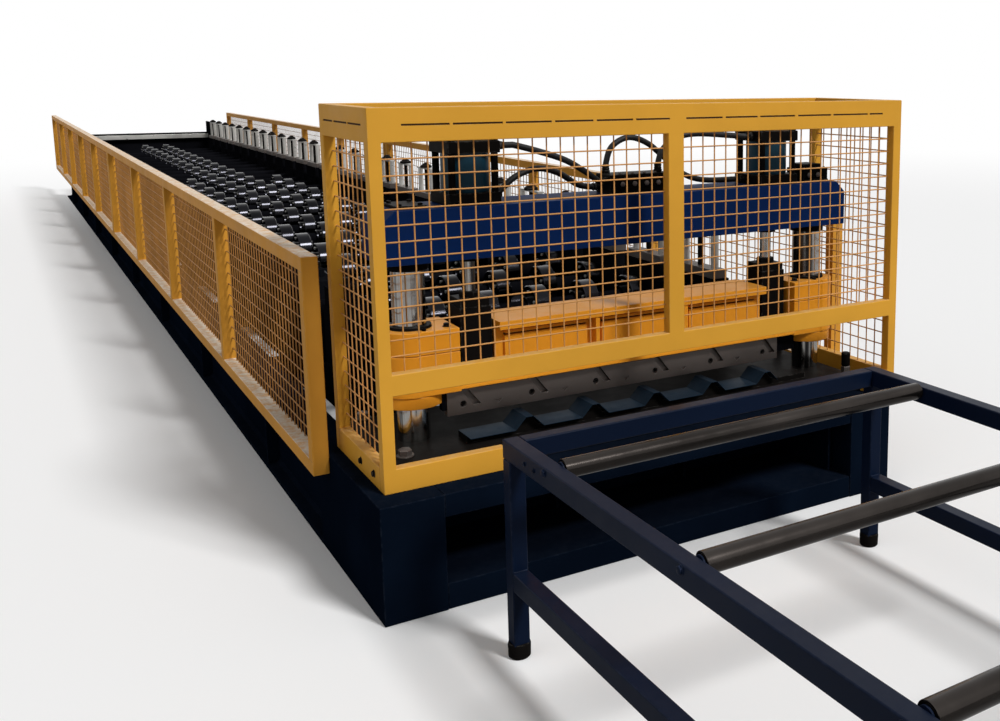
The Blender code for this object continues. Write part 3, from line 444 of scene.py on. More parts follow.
def screw(shape, centre, axis, radius, height, way=1):
    """Socket head screw: a knurled round head with a sunken hexagon."""
    step = way * height
    shape.turned([(0.0, radius), (step * 0.85, radius), (step, radius * 0.88), (step, radius * 0.52),
                  (step * 0.45, radius * 0.48)], 12, axis, centre)


BEAD_STEP = 0.006
THIN_BEAD = 0.0018
TABLE_BEAD = 0.0022
STAND_BEAD = 0.003


def bead(shape, start, end, radius, chance):
    """Row of overlapping weld ripples between two points."""
    start, end = Vector(start), Vector(end)
    ahead = (end - start).normalized()
    halves = 2 * max(2, int((end - start).length / BEAD_STEP))
    side = ahead.orthogonal().normalized()
    up = ahead.cross(side)
    rings = []
    for index in range(halves + 1):
        swell = 1.0 if index % 2 else 0.72
        size = radius * swell * chance.uniform(0.85, 1.15)
        rings.append(ring_at(start + (end - start) * index / halves, side, up, size, 6))
    shape.skin(rings)


# Guard cage

CAGE_HALF = 1.05
CAGE_DEPTH = 0.533
CAGE_Z = span("cage_side_left", 2)
CAGE_TUBE = 0.04
CAGE_TOP_RAIL = 0.103
CAGE_LOW_RAIL = 0.076
CAGE_MID_RAIL_Z = (0.681, 0.748)
CAGE_CENTRE_HALF = 0.0315
STUB_LENGTH = {-1: 0.357, 1: 0.11}
BRACKET_START = 0.90
BRACKET_THICK = 0.03
WIRE_RADIUS = 0.0025
WIRE_INSET = 0.008
WIRE_STEP = 0.8 * 2 * WIRE_RADIUS
WIRE_LAP = 0.004
GROOVE_HALF = 0.003
GROOVE_DEPTH = 0.004
GROOVE_END = 0.10
GROOVE_SHADE_DEPTH = (0.0025, 0.006)
GROOVE_SHADE_GAP = 0.0005
CAGE_BOLT = (0.010, 0.008)
CAGE_BOLT_Y = (0.10, 0.24)
CAGE_BOLT_RISE = 0.040
CAGE_NODES = ["cage_side_left", "cage_side_right", "cage_front_panel", "cage_rear_rail",
              "cage_stub_left", "cage_stub_right"]


def groove_runs(start, end, chance):
    """Stretches of the groove between two stacked tubes, split by short weld bridges."""
    runs = []
    place = start
    while place < end - 0.05:
        stop = min(end, place + chance.uniform(0.135, 0.175))
        runs.append((place, stop))
        place = stop + chance.uniform(0.009, 0.014)
    return runs


def cage_frame(chance):
    """The guard's whole tube frame as one skin, with the groove in its deep top rail and painted shade set
    in the groove's bottom.
    """
    half, tube, depth = CAGE_HALF, CAGE_TUBE, CAGE_DEPTH
    front, rear = (0.0, tube), (depth - tube, depth)
    top_rail = (CAGE_Z[1] - CAGE_TOP_RAIL, CAGE_Z[1])
    low_rail = (CAGE_Z[0], CAGE_Z[0] + CAGE_LOW_RAIL)
    boxes = [(both(half), front, top_rail), (both(half), rear, top_rail),
             (both(half - tube / 2), front, CAGE_MID_RAIL_Z),
             (both(CAGE_CENTRE_HALF), front, (CAGE_MID_RAIL_Z[0], CAGE_Z[1])),
             ((BRACKET_START, half), rear, (CAGE_Z[0], CAGE_Z[0] + BRACKET_THICK))]
    for side in (-1, 1):
        x = sided(side, half - tube, half)
        boxes += [(x, front, CAGE_Z), (x, rear, CAGE_Z), (x, (0.0, depth), top_rail),
                  (x, (0.0, depth), low_rail),
                  (sided(side, half, half - tube - STUB_LENGTH[side]), front, low_rail)]
    seam = about(CAGE_Z[1] - CAGE_TOP_RAIL / 2, GROOVE_HALF)
    # Dark boxes in the bottom of the groove are painted shade.
    grooves, groove_shade = Shape(), Shape()
    end = half - GROOVE_END
    for low, high in (*groove_runs(-end, -0.025, chance), *groove_runs(0.04, end, chance)):
        for face, way in ((0.0, 1), (depth, -1)):
            grooves.box((low, high), (face - way * 0.01, face + way * GROOVE_DEPTH), seam)
            groove_shade.box((low + GROOVE_SHADE_GAP, high - GROOVE_SHADE_GAP), [face + way * deep for deep in GROOVE_SHADE_DEPTH], seam)
    for low, high in groove_runs(0.06, depth - 0.05, chance):
        for side in (-1, 1):
            grooves.box(sided(side, half + 0.01, half - GROOVE_DEPTH), (low, high), seam)
            groove_shade.box([side * (half - deep) for deep in GROOVE_SHADE_DEPTH], (low + GROOVE_SHADE_GAP, high - GROOVE_SHADE_GAP), seam)
    Shape().welded(boxes).piece("cage_frame", YELLOW, 0.0035, replaces=CAGE_NODES, grooves=grooves)
    groove_shade.piece("cage_groove_painted_shade", PAINTED_CREVICE_SHADE, smooth=False)


def weave(wires, place, counts, across, up, step, sides=6):
    """Welded wire mesh in an opening. place turns (across, up, depth) into a point."""
    for a in spread(counts[0], *across):
        ends = (place(a, up[0] - WIRE_LAP, 0.0), place(a, up[1] + WIRE_LAP, 0.0))
        wires.rod(*ends, WIRE_RADIUS, sides)
    for b in spread(counts[1], *up):
        ends = (place(across[0] - WIRE_LAP, b, step), place(across[1] + WIRE_LAP, b, step))
        wires.rod(*ends, WIRE_RADIUS, sides)


def facing_x(plane):
    return lambda along, height, depth: (plane + depth, along, height)


def facing_y(plane):
    return lambda across, height, depth: (across, plane + depth, height)


def cage_fill(chance):
    """Wire mesh, weld beads and fixing bolts of the guard."""
    top = CAGE_Z[1] - CAGE_TOP_RAIL
    low_top = CAGE_Z[0] + CAGE_LOW_RAIL
    rails = (CAGE_TUBE, CAGE_DEPTH - CAGE_TUBE)
    wires, welds, bolts = Shape(), Shape(), Shape()
    for side in (-1, 1):
        plane = side * (CAGE_HALF - CAGE_TUBE + WIRE_INSET)
        weave(wires, facing_x(plane), (9, 20), rails, (low_top, top), side * WIRE_STEP)
        outer = side * (CAGE_HALF - 0.001)
        for y in rails:
            bead(welds, (outer, y, CAGE_Z[0] + 0.004), (outer, y, low_top), THIN_BEAD, chance)
        for y in CAGE_BOLT_Y:
            bolt(bolts, (side * CAGE_HALF, y, CAGE_Z[0] + CAGE_BOLT_RISE), "X", *CAGE_BOLT, side)
    front = facing_y(CAGE_TUBE - WIRE_INSET)
    for side in (-1, 1):
        opening = sided(side, CAGE_CENTRE_HALF, CAGE_HALF - CAGE_TUBE)
        weave(wires, front, (20, 14), opening, (CAGE_MID_RAIL_Z[1], top), -WIRE_STEP)
    wires.piece("cage_mesh", WIRE)
    welds.piece("cage_welds", WELD)
    bolts.piece("cage_bolts", BLACK, 0.0008)


# Fences beside the forming section

FENCE_X = (1.0953, 1.15)
FENCE_RAIL = 0.05
FENCE_BAYS = {"near": 4, "far": 5}
FENCE_CELL = 0.05
FENCE_ROWS = 13
FENCE_BRACKET_Z = (0.325, 0.36)


def fence(side, part, chance):
    """One fence panel: square tube frame, welded mesh on its inner side, weld beads and bolts."""
    node = "fence_%s_%s" % (side_name(side), part)
    y, z = span(node, 1), span(node, 2)
    x = sided(side, *FENCE_X)
    bays = FENCE_BAYS[part]
    pitch = (y[1] - y[0] - FENCE_RAIL) / bays
    posts = [y[0] + index * pitch for index in range(bays + 1)]
    opening = (z[0] + FENCE_RAIL, z[1] - FENCE_RAIL)
    boxes = [(x, y, (opening[1], z[1])), (x, y, (z[0], opening[0]))]
    boxes += [(x, (post, post + FENCE_RAIL), opening) for post in posts]
    if side > 0:
        low, high = span("base_frame", 1)
        edge = span("base_frame", 0)[1] + SEAT
        boxes += [((edge, x[0]), (post, post + FENCE_RAIL), FENCE_BRACKET_Z) for post in posts
                  if low < post + FENCE_RAIL < high]
    Shape().welded(boxes).piece(node + "_frame", FENCE, 0.004, replaces=[node])
    wires, welds = Shape(), Shape()
    place = facing_x(side * (FENCE_X[0] + WIRE_INSET))
    for post, after in zip(posts, posts[1:]):
        bay = (post + FENCE_RAIL, after)
        counts = (round((bay[1] - bay[0]) / FENCE_CELL), FENCE_ROWS)
        weave(wires, place, counts, bay, opening, side * WIRE_STEP, 5)
    # The fence mesh takes the darkened wire colour: painted shade.
    wires.piece(node + "_mesh", FENCE_WIRE_SHADED)
    outer = side * (FENCE_X[1] - 0.001)
    for post, height in itertools.product(posts, opening):
        ends = ((outer, post + 0.003, height), (outer, post + FENCE_RAIL - 0.003, height))
        bead(welds, *ends, THIN_BEAD, chance)
    welds.piece(node + "_welds", WELD)


# Base, press stand and press table

FLANGE = 0.12
FLANGE_THICK = 0.02
FLANGE_EDGE = 0.8 * FLANGE_THICK
WEB = 0.014
ROOT_FILLET = 0.012
CROSS_Z = (0.06, 0.22)
CROSS_PITCH = 1.6
CROSS_WIDTH = 0.10
STIFFENER_START = 0.9
STIFFENER_THICK = 0.012
BASE_BOLT = (0.012, 0.012)
BASE_BOLT_OFFSETS = (-0.30, -0.06, 0.30)
BASE_BOLT_Z = 0.26


def base_frame():
    """Two rolled I-beams with root fillets, cross members, stiffeners and bolts on their sides."""
    (left, right), along, (_, top) = spans("base_frame")
    beams, plates, bolts = Shape(), Shape(), Shape()
    edges = ((left, 1), (right, -1))
    for edge, side in edges:
        middle = edge + side * FLANGE / 2
        outline = []
        for way in (side, -side):
            far, web = middle + way * FLANGE / 2, middle + way * WEB / 2
            root = web + way * ROOT_FILLET
            rows = [(far, 0.0), (far, FLANGE_EDGE), (root, FLANGE_THICK), (web, FLANGE_THICK + ROOT_FILLET),
                    (web, top - FLANGE_THICK - ROOT_FILLET), (root, top - FLANGE_THICK),
                    (far, top - FLANGE_EDGE), (far, top)]
            outline += rows[::-1] if outline else rows
        beams.prism(outline, "Y", along)
    end = along[1]
    while end - CROSS_WIDTH > along[0]:
        beams.box((left + FLANGE / 2, right - FLANGE / 2), (end - CROSS_WIDTH, end), CROSS_Z)
        end -= CROSS_PITCH
    beams.piece("base_beams", BASE, 0.002, replaces=["base_frame"])
    place = along[0] + STIFFENER_START
    while place < along[1]:
        for edge, side in edges:
            reach = edge + side * (FLANGE - WEB) / 2
            plates.box((edge + side * 0.004, reach), (place, place + STIFFENER_THICK),
                       (FLANGE_THICK, top - FLANGE_THICK))
            for offset in BASE_BOLT_OFFSETS:
                bolt(bolts, (reach, place + offset, BASE_BOLT_Z), "X", *BASE_BOLT, -side)
        place += CROSS_PITCH
    plates.piece("base_stiffeners", BASE, 0.0015)
    bolts.piece("base_bolts", GREY, 0.0008)


STAND_COLUMN = 0.20
STAND_RECESS = 0.42
STAND_BOTTOM_BEAM = 0.085
STAND_TOP_BEAM = 0.075
STAND_BEAM_SETBACK = 0.004
RIB_THICK = 0.012
SIDE_RIB_GAP = 0.02
SIDE_RIB_SETBACK = 0.10
BACK_RIB_DEPTH = 0.06


def press_stand(chance):
    (left, right), (front, back), (_, top) = spans("press_stand")
    recess = front + STAND_RECESS
    middle = (left + STAND_COLUMN, right - STAND_COLUMN)
    opening = (STAND_BOTTOM_BEAM, top - STAND_TOP_BEAM)
    plates, ribs, welds = Shape(), Shape(), Shape()
    plates.box((left, middle[0]), (front, back), (0.0, top))
    plates.box((middle[1], right), (front, back), (0.0, top))
    plates.box(middle, (recess, back), (0.0, top))
    for limits in ((0.0, opening[0]), (opening[1], top)):
        plates.box(middle, (front + STAND_BEAM_SETBACK, recess), limits)
    plates.piece("press_stand_plates", BASE, 0.004, replaces=["press_stand"])
    for x in (middle[0] + SIDE_RIB_GAP, middle[1] - SIDE_RIB_GAP - RIB_THICK):
        ribs.box((x, x + RIB_THICK), (front + SIDE_RIB_SETBACK, recess), opening)
    for x in spread(3, *middle):
        ribs.box(about(x, RIB_THICK / 2), (recess - BACK_RIB_DEPTH, recess), opening)
    ribs.piece("press_stand_ribs", BASE, 0.002)
    for x, z in itertools.product(middle, opening):
        bead(welds, (x, front + 0.01, z), (x, recess, z), STAND_BEAD, chance)
    welds.piece("press_stand_welds", BASE)


PRESS_TABLE_SCREW = (0.009, 0.006)
LEVELLER_INSET = 0.045
LEVELLER_NUT = ((0.0, 0.019), (0.030, 0.019), (0.033, 0.016))
LEVELLER_CAP = ((0.033, 0.015), (0.037, 0.018), (0.086, 0.018), (0.090, 0.014))
TABLE_NUT_PLACE = (0.06, 0.04)
TABLE_NUT_WASHER = ((0.0, 0.028), (0.005, 0.028))
TABLE_NUT = ((0.005, 0.022), (0.021, 0.022), (0.025, 0.018))


def press_table():
    x, y, z = spans("press_table")
    Shape().box(x, y, z).piece("press_table_plate", BLACK, 0.004, replaces=["press_table"])
    caps, nuts, screws = Shape(), Shape(), Shape()
    for place in (y[0] + LEVELLER_INSET, y[1] - LEVELLER_INSET):
        right = (x[1] - LEVELLER_INSET / 2, place, z[1])
        nuts.turned(LEVELLER_NUT, 6, "Z", right)
        caps.turned(LEVELLER_CAP, 20, "Z", right)
        left = (x[0] + TABLE_NUT_PLACE[0], place + TABLE_NUT_PLACE[1], z[1])
        nuts.turned(TABLE_NUT_WASHER, 24, "Z", left)
        nuts.turned(TABLE_NUT, 6, "Z", left)
    nuts.piece("levelling_nuts", GREY, 0.0008)
    caps.piece("levelling_bolts", BLACK)
    for place in spread(8, x[0] + 0.1, x[1] - 0.1):
        screw(screws, (place, y[0], (z[0] + z[1]) / 2), "Y", *PRESS_TABLE_SCREW, -1)
    screws.piece("press_table_screws", BLACK, 0.0005)


# Press: posts, beam, cylinders, hoses

POST_SPACING = 1.67
POST_Y = 0.30
POST_RADIUS = 0.055
POST_RING = ((-0.030, 0.0555), (-0.030, 0.066), (-0.027, 0.069), (0.0, 0.069))
POST_CENTRES = {side: MACHINE_X + side * POST_SPACING / 2 for side in (-1, 1)}
CYLINDER_SPACING = 1.25
CYLINDER_CENTRES = {side: MACHINE_X + side * CYLINDER_SPACING / 2 for side in (-1, 1)}
CAP = 0.18
CAP_HEIGHT = 0.04
BEAM_CHAMFER = 0.042
ROD_BORE = 0.026
BEAM_PLATE = (0.050, 0.075, 0.010)
BEAM_SCREW = (0.008, 0.007)
BEAM_SCREW_OFFSET = (0.034, 0.055)
CORNERS = tuple(itertools.product((-1, 1), (-1, 1)))


def guide_posts():
    for side, x in POST_CENTRES.items():
        node = "guide_post_" + side_name(side)
        z = span(node, 2)
        post = Shape().drum(z, POST_RADIUS, 64, "Z", (x, POST_Y, 0.0))
        # The chrome bar carries painted reflection bands.
        post.piece(node + "_bar", CHROME, replaces=[node])
        Shape().turned(POST_RING, 48, "Z", (x, POST_Y, z[1])).piece(node + "_rings", BLACK)


def top_beam():
    x, y, z = spans("top_beam")
    shoulder = z[1] - BEAM_CHAMFER
    beam = Shape().prism([(x[0], z[0]), (x[1], z[0]), (x[1], shoulder), (x[1] - BEAM_CHAMFER, z[1]),
                          (x[0] + BEAM_CHAMFER, z[1]), (x[0], shoulder)], "Y", y)
    bores, plates = Shape(), Shape()
    for centre in CYLINDER_CENTRES.values():
        bores.drum((z[0] - 0.02, z[1] + 0.02), ROD_BORE, 32, "Z", (centre, POST_Y, 0.0))
    beam.piece("top_beam_body", BEAM_BLUE, 0.003, replaces=["top_beam"], minus=bores)
    half_x, half_y, thick = BEAM_PLATE
    for centre in POST_CENTRES.values():
        plates.box(about(centre, half_x), about(POST_Y, half_y), (z[1], z[1] + thick))
        for a, b in CORNERS:
            place = (centre + a * BEAM_SCREW_OFFSET[0], POST_Y + b * BEAM_SCREW_OFFSET[1], z[1] + thick)
            screw(plates, place, "Z", *BEAM_SCREW)
    plates.piece("top_beam_plates", BLACK, 0.001)


BARREL_RADIUS = 0.080
BARREL_LIP = 0.078
BARREL_NECK = 0.008
TIE_ROD_OFFSET = 0.074
TIE_ROD_RADIUS = 0.012
TIE_ROD_NUT = ((0.0, 0.014), (0.008, 0.014), (0.010, 0.011))
CAP_PLUG = ((0.0, 0.032), (0.005, 0.032), (0.007, 0.029))


def hydraulic_cylinders():
    """Square-capped cylinders with four black tie rods each."""
    for side, x in CYLINDER_CENTRES.items():
        node = "cylinder_" + side_name(side)
        z = span(node, 2)
        low, high = z[0] + CAP_HEIGHT, z[1] - CAP_HEIGHT
        profile = [(low - TUCK, BARREL_LIP), (low + BARREL_NECK, BARREL_RADIUS),
                   (high - BARREL_NECK, BARREL_RADIUS), (high + TUCK, BARREL_LIP)]
        barrel = Shape().turned(profile, 56, "Z", (x, POST_Y, 0.0))
        barrel.piece(node + "_barrel", TEAL, replaces=[node])
        caps, rods = Shape(), Shape()
        for start in (z[0], high):
            caps.box(about(x, CAP / 2), about(POST_Y, CAP / 2), (start, start + CAP_HEIGHT))
        caps.piece(node + "_caps", BLACK, 0.003)
        for a, b in CORNERS:
            place = (x + a * TIE_ROD_OFFSET, POST_Y + b * TIE_ROD_OFFSET)
            rods.drum((low - TUCK, high + TUCK), TIE_ROD_RADIUS, 20, "Z", (*place, 0.0))
            rods.turned(TIE_ROD_NUT, 6, "Z", (*place, z[1]))
        rods.turned(CAP_PLUG, 32, "Z", (x, POST_Y, z[1]))
        rods.piece(node + "_tie_rods", BLACK)


VALVE_STEP = 0.018
VALVE_TOP_INSETS = (0.006, 0.030, 0.008)
VALVE_PLUG_X = (0.03, 0.075)
VALVE_PLUG_Z = 0.026
VALVE_SCREW = (0.005, 0.005)
VALVE_SCREW_INSET = 0.012
VALVE_PLUG = ((0.0, 0.011), (-0.005, 0.011), (-0.006, 0.009))
MANIFOLD_SCREW = (0.006, 0.005)
MANIFOLD_PLUG = ((0.0, 0.010), (-0.005, 0.010), (-0.006, 0.008))


def valve_block():
    x, y, z = spans("valve_block")
    block, plugs = Shape(), Shape()
    block.box(x, y, (z[0], z[1] - VALVE_STEP))
    block.box((x[0] + VALVE_TOP_INSETS[0], x[1] - VALVE_TOP_INSETS[1]),
              (y[0] + VALVE_TOP_INSETS[2], y[1] - VALVE_TOP_INSETS[2]), (z[1] - VALVE_STEP - 0.001, z[1]))
    block.piece("valve_block_body", BLACK, 0.003, replaces=["valve_block"])
    for offset in VALVE_PLUG_X:
        plugs.turned(VALVE_PLUG, 6, "Y", (x[0] + offset, y[0], z[0] + VALVE_PLUG_Z))
    inset = VALVE_SCREW_INSET
    for a, b in itertools.product((x[0] + inset, x[1] - inset), (y[0] + inset, y[1] - inset)):
        screw(plugs, (a, b, z[1] - VALVE_STEP), "Z", *VALVE_SCREW)
    plugs.piece("valve_block_plugs", GREY, 0.0005)


def manifold():
    x, y, z = spans("manifold")
    Shape().box(x, y, z).piece("manifold_body", BLACK, 0.003, replaces=["manifold"])
    plugs = Shape()
    for place in spread(5, *x):
        screw(plugs, (place, y[0] + 0.016, z[1]), "Z", *MANIFOLD_SCREW)
        plugs.turned(MANIFOLD_PLUG, 6, "Y", (place, y[0], (z[0] + z[1]) / 2))
    plugs.piece("manifold_plugs", GREY, 0.0005)


HOSE_RADIUS = 0.011
FRONT_HOSE_Y = 0.27
REAR_HOSE_Y = 0.33
FITTING_NUT = ((0.0, 0.015), (0.010, 0.0165), (0.012, 0.0145))
FITTING_SLEEVE = ((0.012, 0.0130), (0.014, 0.0138), (0.019, 0.0138), (0.020, 0.0128), (0.023, 0.0128),
                  (0.024, 0.0138), (0.029, 0.0138), (0.032, 0.0125))


def smooth_route(points, per_span):
    """Smooth curve through the inner points, with straight runs out of the two end fittings."""
    route = [points[0]]
    for index in range(1, len(points) - 2):
        p0, p1, p2, p3 = points[index - 1:index + 3]
        for step in range(per_span):
            t = step / per_span
            route.append(0.5 * (2 * p1 + (p2 - p0) * t + (2 * p0 - 5 * p1 + 4 * p2 - p3) * t * t
                                + (3 * p1 - p0 - 3 * p2 + p3) * t * t * t))
    return route + points[-2:]


def fitting(shape, start, ahead):
    """Hexagon nut and crimped sleeve on a hose end, pointing along the hose."""
    side = ahead.orthogonal().normalized()
    up = ahead.cross(side)
    for profile, sides in ((FITTING_NUT, 6), (FITTING_SLEEVE, 24)):
        shape.skin([ring_at(start + ahead * far, side, up, radius, sides) for far, radius in profile])


def hose_routes():
    """The routes of the CAD's hoses, with heights above the top beam."""
    floor = span("top_beam", 2)[1]
    left = CYLINDER_CENTRES[-1] + CAP / 2 + SEAT
    right = CYLINDER_CENTRES[1] - CAP / 2 - SEAT
    block = span("manifold", 0)[0] - SEAT
    roof = span("manifold", 2)[1] - floor
    high, low = span("cylinder_left", 2)[1] - SEAT - floor - CAP_HEIGHT / 2, CAP_HEIGHT / 2
    front, rear = FRONT_HOSE_Y, REAR_HOSE_Y
    reach = block - left
    return {
        "hose_left_upper": [
            (left, front, high), (left + 0.16 * reach, front, high), (left + 0.57 * reach, front, 0.138),
            (left + 0.78 * reach, front, 0.090), (block - 0.03, front, 0.047), (block, front, 0.047)],
        "hose_left_lower": [
            (left, rear, low), (left + 0.07 * reach, rear, low), (left + 0.23 * reach, rear, 0.074),
            (left + 0.43 * reach, rear, 0.100), (left + 0.62 * reach, rear, 0.080),
            (left + 0.79 * reach, rear, 0.036), (block - 0.03, rear, 0.024), (block, rear, 0.024)],
        "hose_right_upper": [
            (0.085, front, roof), (0.085, front, 0.100), (0.108, front, 0.155), (0.17, front, 0.195),
            (0.26, front, 0.207), (right - 0.10, front, 0.196), (right - 0.04, front, high),
            (right, front, high)],
        "hose_right_lower": [
            (-0.10, rear, roof), (-0.10, rear, 0.100), (-0.075, rear, 0.165), (-0.005, rear, 0.198),
            (0.075, rear, 0.175), (0.15, rear, 0.118), (0.235, rear, 0.052), (0.33, rear, 0.024),
            (right - 0.04, rear, low), (right, rear, low)],
    }


def hoses():
    """Hydraulic hoses, on the routes of the CAD, with a crimped fitting at each end."""
    floor = span("top_beam", 2)[1]
    for name, places in hose_routes().items():
        route = smooth_route([Vector((x, y, floor + z)) for x, y, z in places], 6)
        ends = Shape()
        fitting(ends, route[0], (route[1] - route[0]).normalized())
        fitting(ends, route[-1], (route[-2] - route[-1]).normalized())
        fittings = ends.piece(name + "_fittings", BLACK)
        curve = bpy.data.curves.new(name + "_hose", "CURVE")
        curve.dimensions = "3D"
        curve.bevel_depth = HOSE_RADIUS
        curve.bevel_resolution = 6
        curve.use_fill_caps = True
        spline = curve.splines.new("POLY")
        spline.points.add(len(route) - 1)
        world = [place + Vector((0.0, FRONT_Y, 0.0)) for place in route]
        for point, place in zip(spline.points, world):
            point.co = (*place, 1.0)
        spline.use_smooth = True
        curve.materials.append(RUBBER)
        hose = placed(name + "_hose", curve)
        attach(hose, "machine")
        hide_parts(name)


# Cutter carriage, blade, die and sheet

HEAD = "cutter_head"
CARRIAGE_Z = span("blade_carriage", 2)
CARRIAGE_Y = (0.20, 0.40)
CARRIAGE_HALF_Y = (CARRIAGE_Y[1] - CARRIAGE_Y[0]) / 2
SLAB = 0.065
NOSE_RADIUS = 0.105
BLOCK_INNER = 0.70
BLOCK_BORE = POST_RADIUS + 0.0006
BLOCK_JOINTS = (0.090, 0.165)
BLOCK_JOINT_GAP = 0.0015
MIDDLE_HALF = 0.56
WEB_HALF = 0.055
CARRIAGE_FLANGE = 0.03
REBATE_TOP = 0.608
FOOT_RING = (0.562, 0.602)
FOOT_RING_RADIUS = 0.100
RING_BORE = 0.0558
CROSS_RIB_HALF = 0.008
PANEL_INSET = 0.030
PANEL_STEP = 0.012
PANEL_GAPS = (0.014, 0.026)
LEDGE_STEP = 0.020
LEDGE_DROPS = (0.018, 0.008)
SHADE_STRIP_STEP = 0.003
SHADE_STRIP_HALF = 0.0035
SHADE_STRIP_GAPS = (0.010, 0.022)
CARRIAGE_SCREW = (0.008, 0.008)
CARRIAGE_BOLT = (0.011, 0.012)
SEAL = ((0.0, RING_BORE), (0.0, 0.072), (0.010, 0.070), (0.010, RING_BORE))


def nosed_ring(centre_x, side, z):
    """Rings of the end block round its post: a half circle outside and a square end inside."""
    outer, inner = [], []
    reach = abs(centre_x - MACHINE_X) - BLOCK_INNER
    corner = math.atan2(CARRIAGE_HALF_Y, reach)
    angles = [math.radians(3.75 * index) for index in range(96)]
    for angle in sorted(angles + [math.pi - corner, math.pi + corner]):
        c, s = math.cos(angle), math.sin(angle)
        if c >= 0:
            distance = NOSE_RADIUS
        else:
            distance = min(reach / -c, CARRIAGE_HALF_Y / abs(s) if s else math.inf)
        if abs(s) > 0.95:
            distance = min(distance, NOSE_RADIUS)
        for ring, radius in ((outer, distance), (inner, BLOCK_BORE)):
            ring.append((centre_x + side * radius * c, POST_Y + radius * s))
    low, high = z
    return [[(a, b, height) for a, b in ring]
            for ring, height in ((inner, low), (outer, low), (outer, high), (inner, high))]


def carriage_panels(ribs, shade_strips, slab_top, under):
    """Cross ribs, raised panels and ledges on both faces of the middle beam, with dark strips of painted
    shade in the gaps beside the panels.
    """
    ends = (MACHINE_X - MIDDLE_HALF, MACHINE_X + MIDDLE_HALF)
    bays = [ends[0], *spread(3, *ends), ends[1]]
    for side in (-1, 1):
        web = POST_Y + side * WEB_HALF
        root = web - side * 0.001
        edge = POST_Y + side * (CARRIAGE_HALF_Y - 0.004)
        for x in bays[1:-1]:
            ribs.box(about(x, CROSS_RIB_HALF), (web, edge), (slab_top - TUCK, under + TUCK))
        for start, end in zip(bays, bays[1:]):
            panel = (start + PANEL_INSET, end - PANEL_INSET)
            ribs.box(panel, (root, web + side * PANEL_STEP),
                     (slab_top + PANEL_GAPS[0], under - PANEL_GAPS[1]))
            ribs.box(panel, (root, web + side * LEDGE_STEP), [under - drop for drop in LEDGE_DROPS])
            # Dark strips in the gaps beside each panel: painted shade.
            for z in (slab_top + SHADE_STRIP_GAPS[0], under - SHADE_STRIP_GAPS[1]):
                shade_strips.box(panel, (root, web + side * SHADE_STRIP_STEP), about(z, SHADE_STRIP_HALF))


def carriage():
    """Yellow carriage: rebated slab for the blade bar, panelled middle beam, three-part end blocks."""
    low, high = CARRIAGE_Z
    slab_top = low + SLAB
    under = high - CARRIAGE_FLANGE
    slab, middle = about(MACHINE_X, BLOCK_INNER + 0.001), about(MACHINE_X, MIDDLE_HALF)
    body = Shape().welded([(slab, (span("blade_bar", 1)[1], CARRIAGE_Y[1]), (low, slab_top)),
                           (slab, CARRIAGE_Y, (REBATE_TOP, slab_top)),
                           (middle, about(POST_Y, WEB_HALF), (slab_top - TUCK, high)),
                           (middle, CARRIAGE_Y, (under, high))])
    # The carriage takes the orange copy of the yellow paint: painted warm shade.
    body.piece("carriage_beam", YELLOW_IN_WARM_SHADE, 0.003, body=HEAD, replaces=["blade_carriage"])
    first, second = (low + rise for rise in BLOCK_JOINTS)
    parts = ((FOOT_RING[1], first), (first + BLOCK_JOINT_GAP, second), (second + BLOCK_JOINT_GAP, high))
    foot_top = FOOT_RING[1] - 0.0005
    foot = ((FOOT_RING[0], RING_BORE), (FOOT_RING[0], FOOT_RING_RADIUS), (foot_top, FOOT_RING_RADIUS),
            (foot_top, RING_BORE))
    blocks, ribs, shade_strips, seals = Shape(), Shape(), Shape(), Shape()
    for side, x in POST_CENTRES.items():
        for z in parts:
            blocks.skin(nosed_ring(x, side, z), looped=True)
        blocks.collar(foot, 64, "Z", (x, POST_Y, 0.0))
        seals.collar(SEAL, 48, "Z", (x, POST_Y, high))
        for a in (-1, 1):
            screw(seals, (x + side * 0.02 * a, POST_Y + a * 0.082, high), "Z", *CARRIAGE_SCREW)
        bolt(seals, (x - side * 0.105, POST_Y - 0.060, high), "Z", *CARRIAGE_BOLT)
    carriage_panels(ribs, shade_strips, slab_top, under)
    blocks.piece("carriage_end_blocks", YELLOW_IN_WARM_SHADE, 0.003, body=HEAD)
    ribs.piece("carriage_ribs", YELLOW_IN_WARM_SHADE, 0.001, body=HEAD)
    # The dark strips are painted shade in the panel gaps.
    shade_strips.piece("carriage_painted_shade_strips", PAINTED_CREVICE_SHADE, body=HEAD)
    seals.piece("carriage_seals", BLACK, 0.0008, body=HEAD)


RIB_PITCH = 0.25
RIB_CENTRES = [MACHINE_X + RIB_PITCH * index for index in range(-2, 3)]
BLADE_TOP = 0.598
BLADE_BOTTOM = 0.512
BLADE_X = (MACHINE_X - 0.742, MACHINE_X + 0.637)
HOLE_Z = 0.548
BLADE_SCREW = (0.008, 0.006)
HOLE_START = MACHINE_X - 0.686
HOLE_DEPTH = 0.014
HOLE = ((-0.002, 0.0115), (0.004, 0.0100), (HOLE_DEPTH, 0.0100))
NOTCH_TOP = (-0.010, 0.016)
NOTCH_FOOT = (0.034, 0.062)
NOTCH_DEPTH = 0.015
NOTCH_DROP = 0.008
NICK_HALF = 0.013
NICK_DROPS = (0.004, 0.016)
NICK_DEPTH = 0.006
END_PLATE_RISE = 0.022


